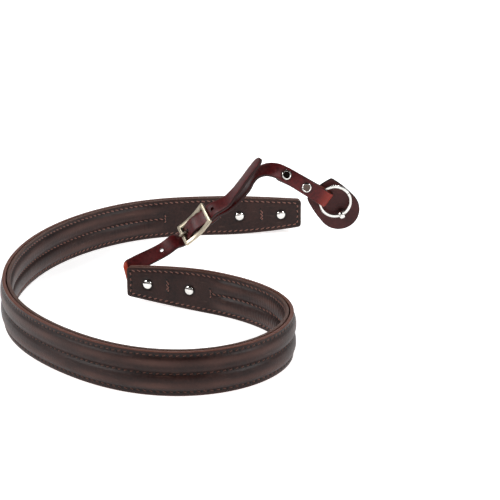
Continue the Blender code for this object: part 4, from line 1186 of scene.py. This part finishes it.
def guardLayers():
    # (shrink, depth, rim, flesh) from the middle of the face over the edge to the back
    edge, half = guard["edge"], guard["width"] / 2
    back = guardFront - guard["thick"]
    layers = [(step / 15 * (1 - 1.2 * edge / half), guardFront - 0.00002, 0.0, 0.0) for step in range(1, 15)]
    for step in range(6):
        turn = math.pi / 2 * step / 5
        shrink = 1 - edge * (1 - math.sin(turn)) / half
        layers.append((shrink, guardFront - edge * (1 - math.cos(turn)), 0.25 + 0.75 * step / 5, 0.0))
    for step in range(6):
        turn = math.pi / 2 * (1 - step / 5)
        shrink = 1 - edge * (1 - math.sin(turn)) / half
        layers.append((shrink, back + edge * (1 - math.cos(turn)), 1.0 - step / 5, step / 5))
    return layers + [(step / 9 * 0.95, back, 0.0, 1.0) for step in range(8, 0, -1)]


def buildGuard(end):
    middle, along, across, out = end.ringFrame
    centre = end.ringCentre + along * guard["along"] + across * guard["across"]
    down = swing(along, across, guard["turn"])
    side = out.cross(down)
    outline, layers = guardOutline(), guardLayers()
    skin = Skin()
    for shrink, depth, rim, flesh in layers:
        for a, b in outline:
            spot = centre + down * (a * shrink) + side * (b * shrink)
            front = spot + out * depth
            sunk = 0.0
            if flesh == 0.0 and rim == 0.0:
                # pressed round the eye and along a line inside the edge, and painted darker there
                away = ((spot - end.eyeAt) - out * (spot - end.eyeAt).dot(out)).length
                sunk = bell(away - 0.0022, 0.0008)
                line = bell(1 - shrink - 0.085, 0.014)
                front -= out * (0.00016 * sunk + 0.00010 * line)
                sunk = max(sunk, 0.45 * line)
            skin.add(front, (a * shrink, b * shrink), rim=rim, press=0.7 * sunk, flesh=flesh, crease=0.15)
    made = skin.make(end.name + "RingGuard", len(layers), "guard")
    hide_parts(end.name + "_ring_guard")


def buildTailStitches(end):
    # the short tail under the buckle is sewn to the ring strap with two rows across it
    thread = Pool()
    size = (0.0024, 0.00055, 0.0004)
    proud = 0.00008
    for place in ringStrap["tailStitches"]:
        at, along, across, out = end.ringRun.frame(place)
        slim = ringThick(place)
        for share in (-0.34, 0.0, 0.34):
            spot = at + across * (strap["width"] * share)
            thread.grain(spot + out * (slim / 2 + proud), across, out, *size)
            thread.grain(spot - out * (1.5 * slim + gap + proud), across, -out, *size)
    thread.build(end.name + "TailStitches", "paleThread", "strap_leather")


padFace = gap / 2 + pad["leather"]
ringSeat = strap["thick"] / 2 + rivetSize["bentSeat"]
for route in (nearRoute, farRoute):
    end = End(route)
    buildAdjusterStrap(end)
    buildRingStrap(end)
    buildBuckle(end)
    buildProng(end)
    buildSplitRing(end)
    buildRingEye(end)
    buildGuard(end)
    buildTailStitches(end)
    for number, inwards in enumerate(pad["rivets"], start=1):
        buildRivet(f"{end.name}PadRivet{number}", end.onPad(inwards, 0.0), padFace - 0.0002,
                   strapDepth + strap["thick"] / 2, rivetSize["onPad"], f"{end.name}_pad_rivet_{number}")
    for number, (title, rivetFrame) in enumerate(ringRivetFrames(end), start=1):
        buildRivet(f"{end.name}RingRivet{number}", rivetFrame, ringSeat + strap["thick"] + gap, ringSeat,
                   rivetSize["onRing"], title)
    print(end.name, "end made")


shot = {"camera": (0.039526, -1.098143, 0.429235), "tilt": 70.0, "lens": 144.0, "floor": 4.0,
        "sky": ((0.0, 1.0), (0.13, 1.0), (0.30, 0.06), (1.0, 0.015)),      # (height, brightness)
        # (name, place, target, size, power)
        "lights": (("leftBox", (-1.25, -0.35, 0.95), (0.0, 0.0, 0.02), (0.7, 0.7), 15.0),
                   ("rightBox", (1.20, -0.45, 0.90), (0.0, 0.0, 0.03), (0.6, 0.6), 12.0),
                   ("backBox", (0.10, 1.35, 1.05), (0.0, 0.0, 0.02), (0.9, 0.35), 9.0))}


def softLight(name, at, target, size, power):
    data = bpy.data.lights.new(name, "AREA")
    data.shape = "RECTANGLE"
    data.size, data.size_y = size
    data.energy = power
    made = placed(name, data)
    made.location = at
    made.rotation_euler = (Vector(target) - Vector(at)).to_track_quat("-Z", "Y").to_euler()


def buildStudio():
    half = shot["floor"] / 2
    mesh = bpy.data.meshes.new("floor")
    corners = [(-half, -half, 0.0), (half, -half, 0.0), (half, half, 0.0), (-half, half, 0.0)]
    mesh.from_pydata(corners, [], [(0, 1, 2, 3)])
    mesh.materials.append(paints["floor"])
    floor = placed("floor", mesh)
    floor.location = (0.0, 0.0, -0.0002)
    world = bpy.data.worlds.new("studio")
    sky = Paint("studio", {"Strength": 1.0}, world)
    where = sky.node("ShaderNodeTexCoord", output="Generated")
    height = sky.node("ShaderNodeSeparateXYZ", {}, {0: where}, 2)
    stops = [(place, (tone, tone, tone)) for place, tone in shot["sky"]]
    sky.finish(Color=sky.node("ShaderNodeValToRGB", {"stops": stops}, {0: height}))
    bpy.context.scene.world = world
    for light in shot["lights"]:
        softLight(*light)
    data = bpy.data.cameras.new("camera")
    data.lens = shot["lens"]
    data.sensor_width = 36.0
    data.clip_end = 20.0
    camera = placed("camera", data)
    camera.location = shot["camera"]
    camera.rotation_euler = (math.radians(shot["tilt"]), 0.0, 0.0)
    bpy.context.scene.camera = camera
    bpy.context.scene.view_settings.view_transform = "Standard"


buildStudio()
print("studio made")
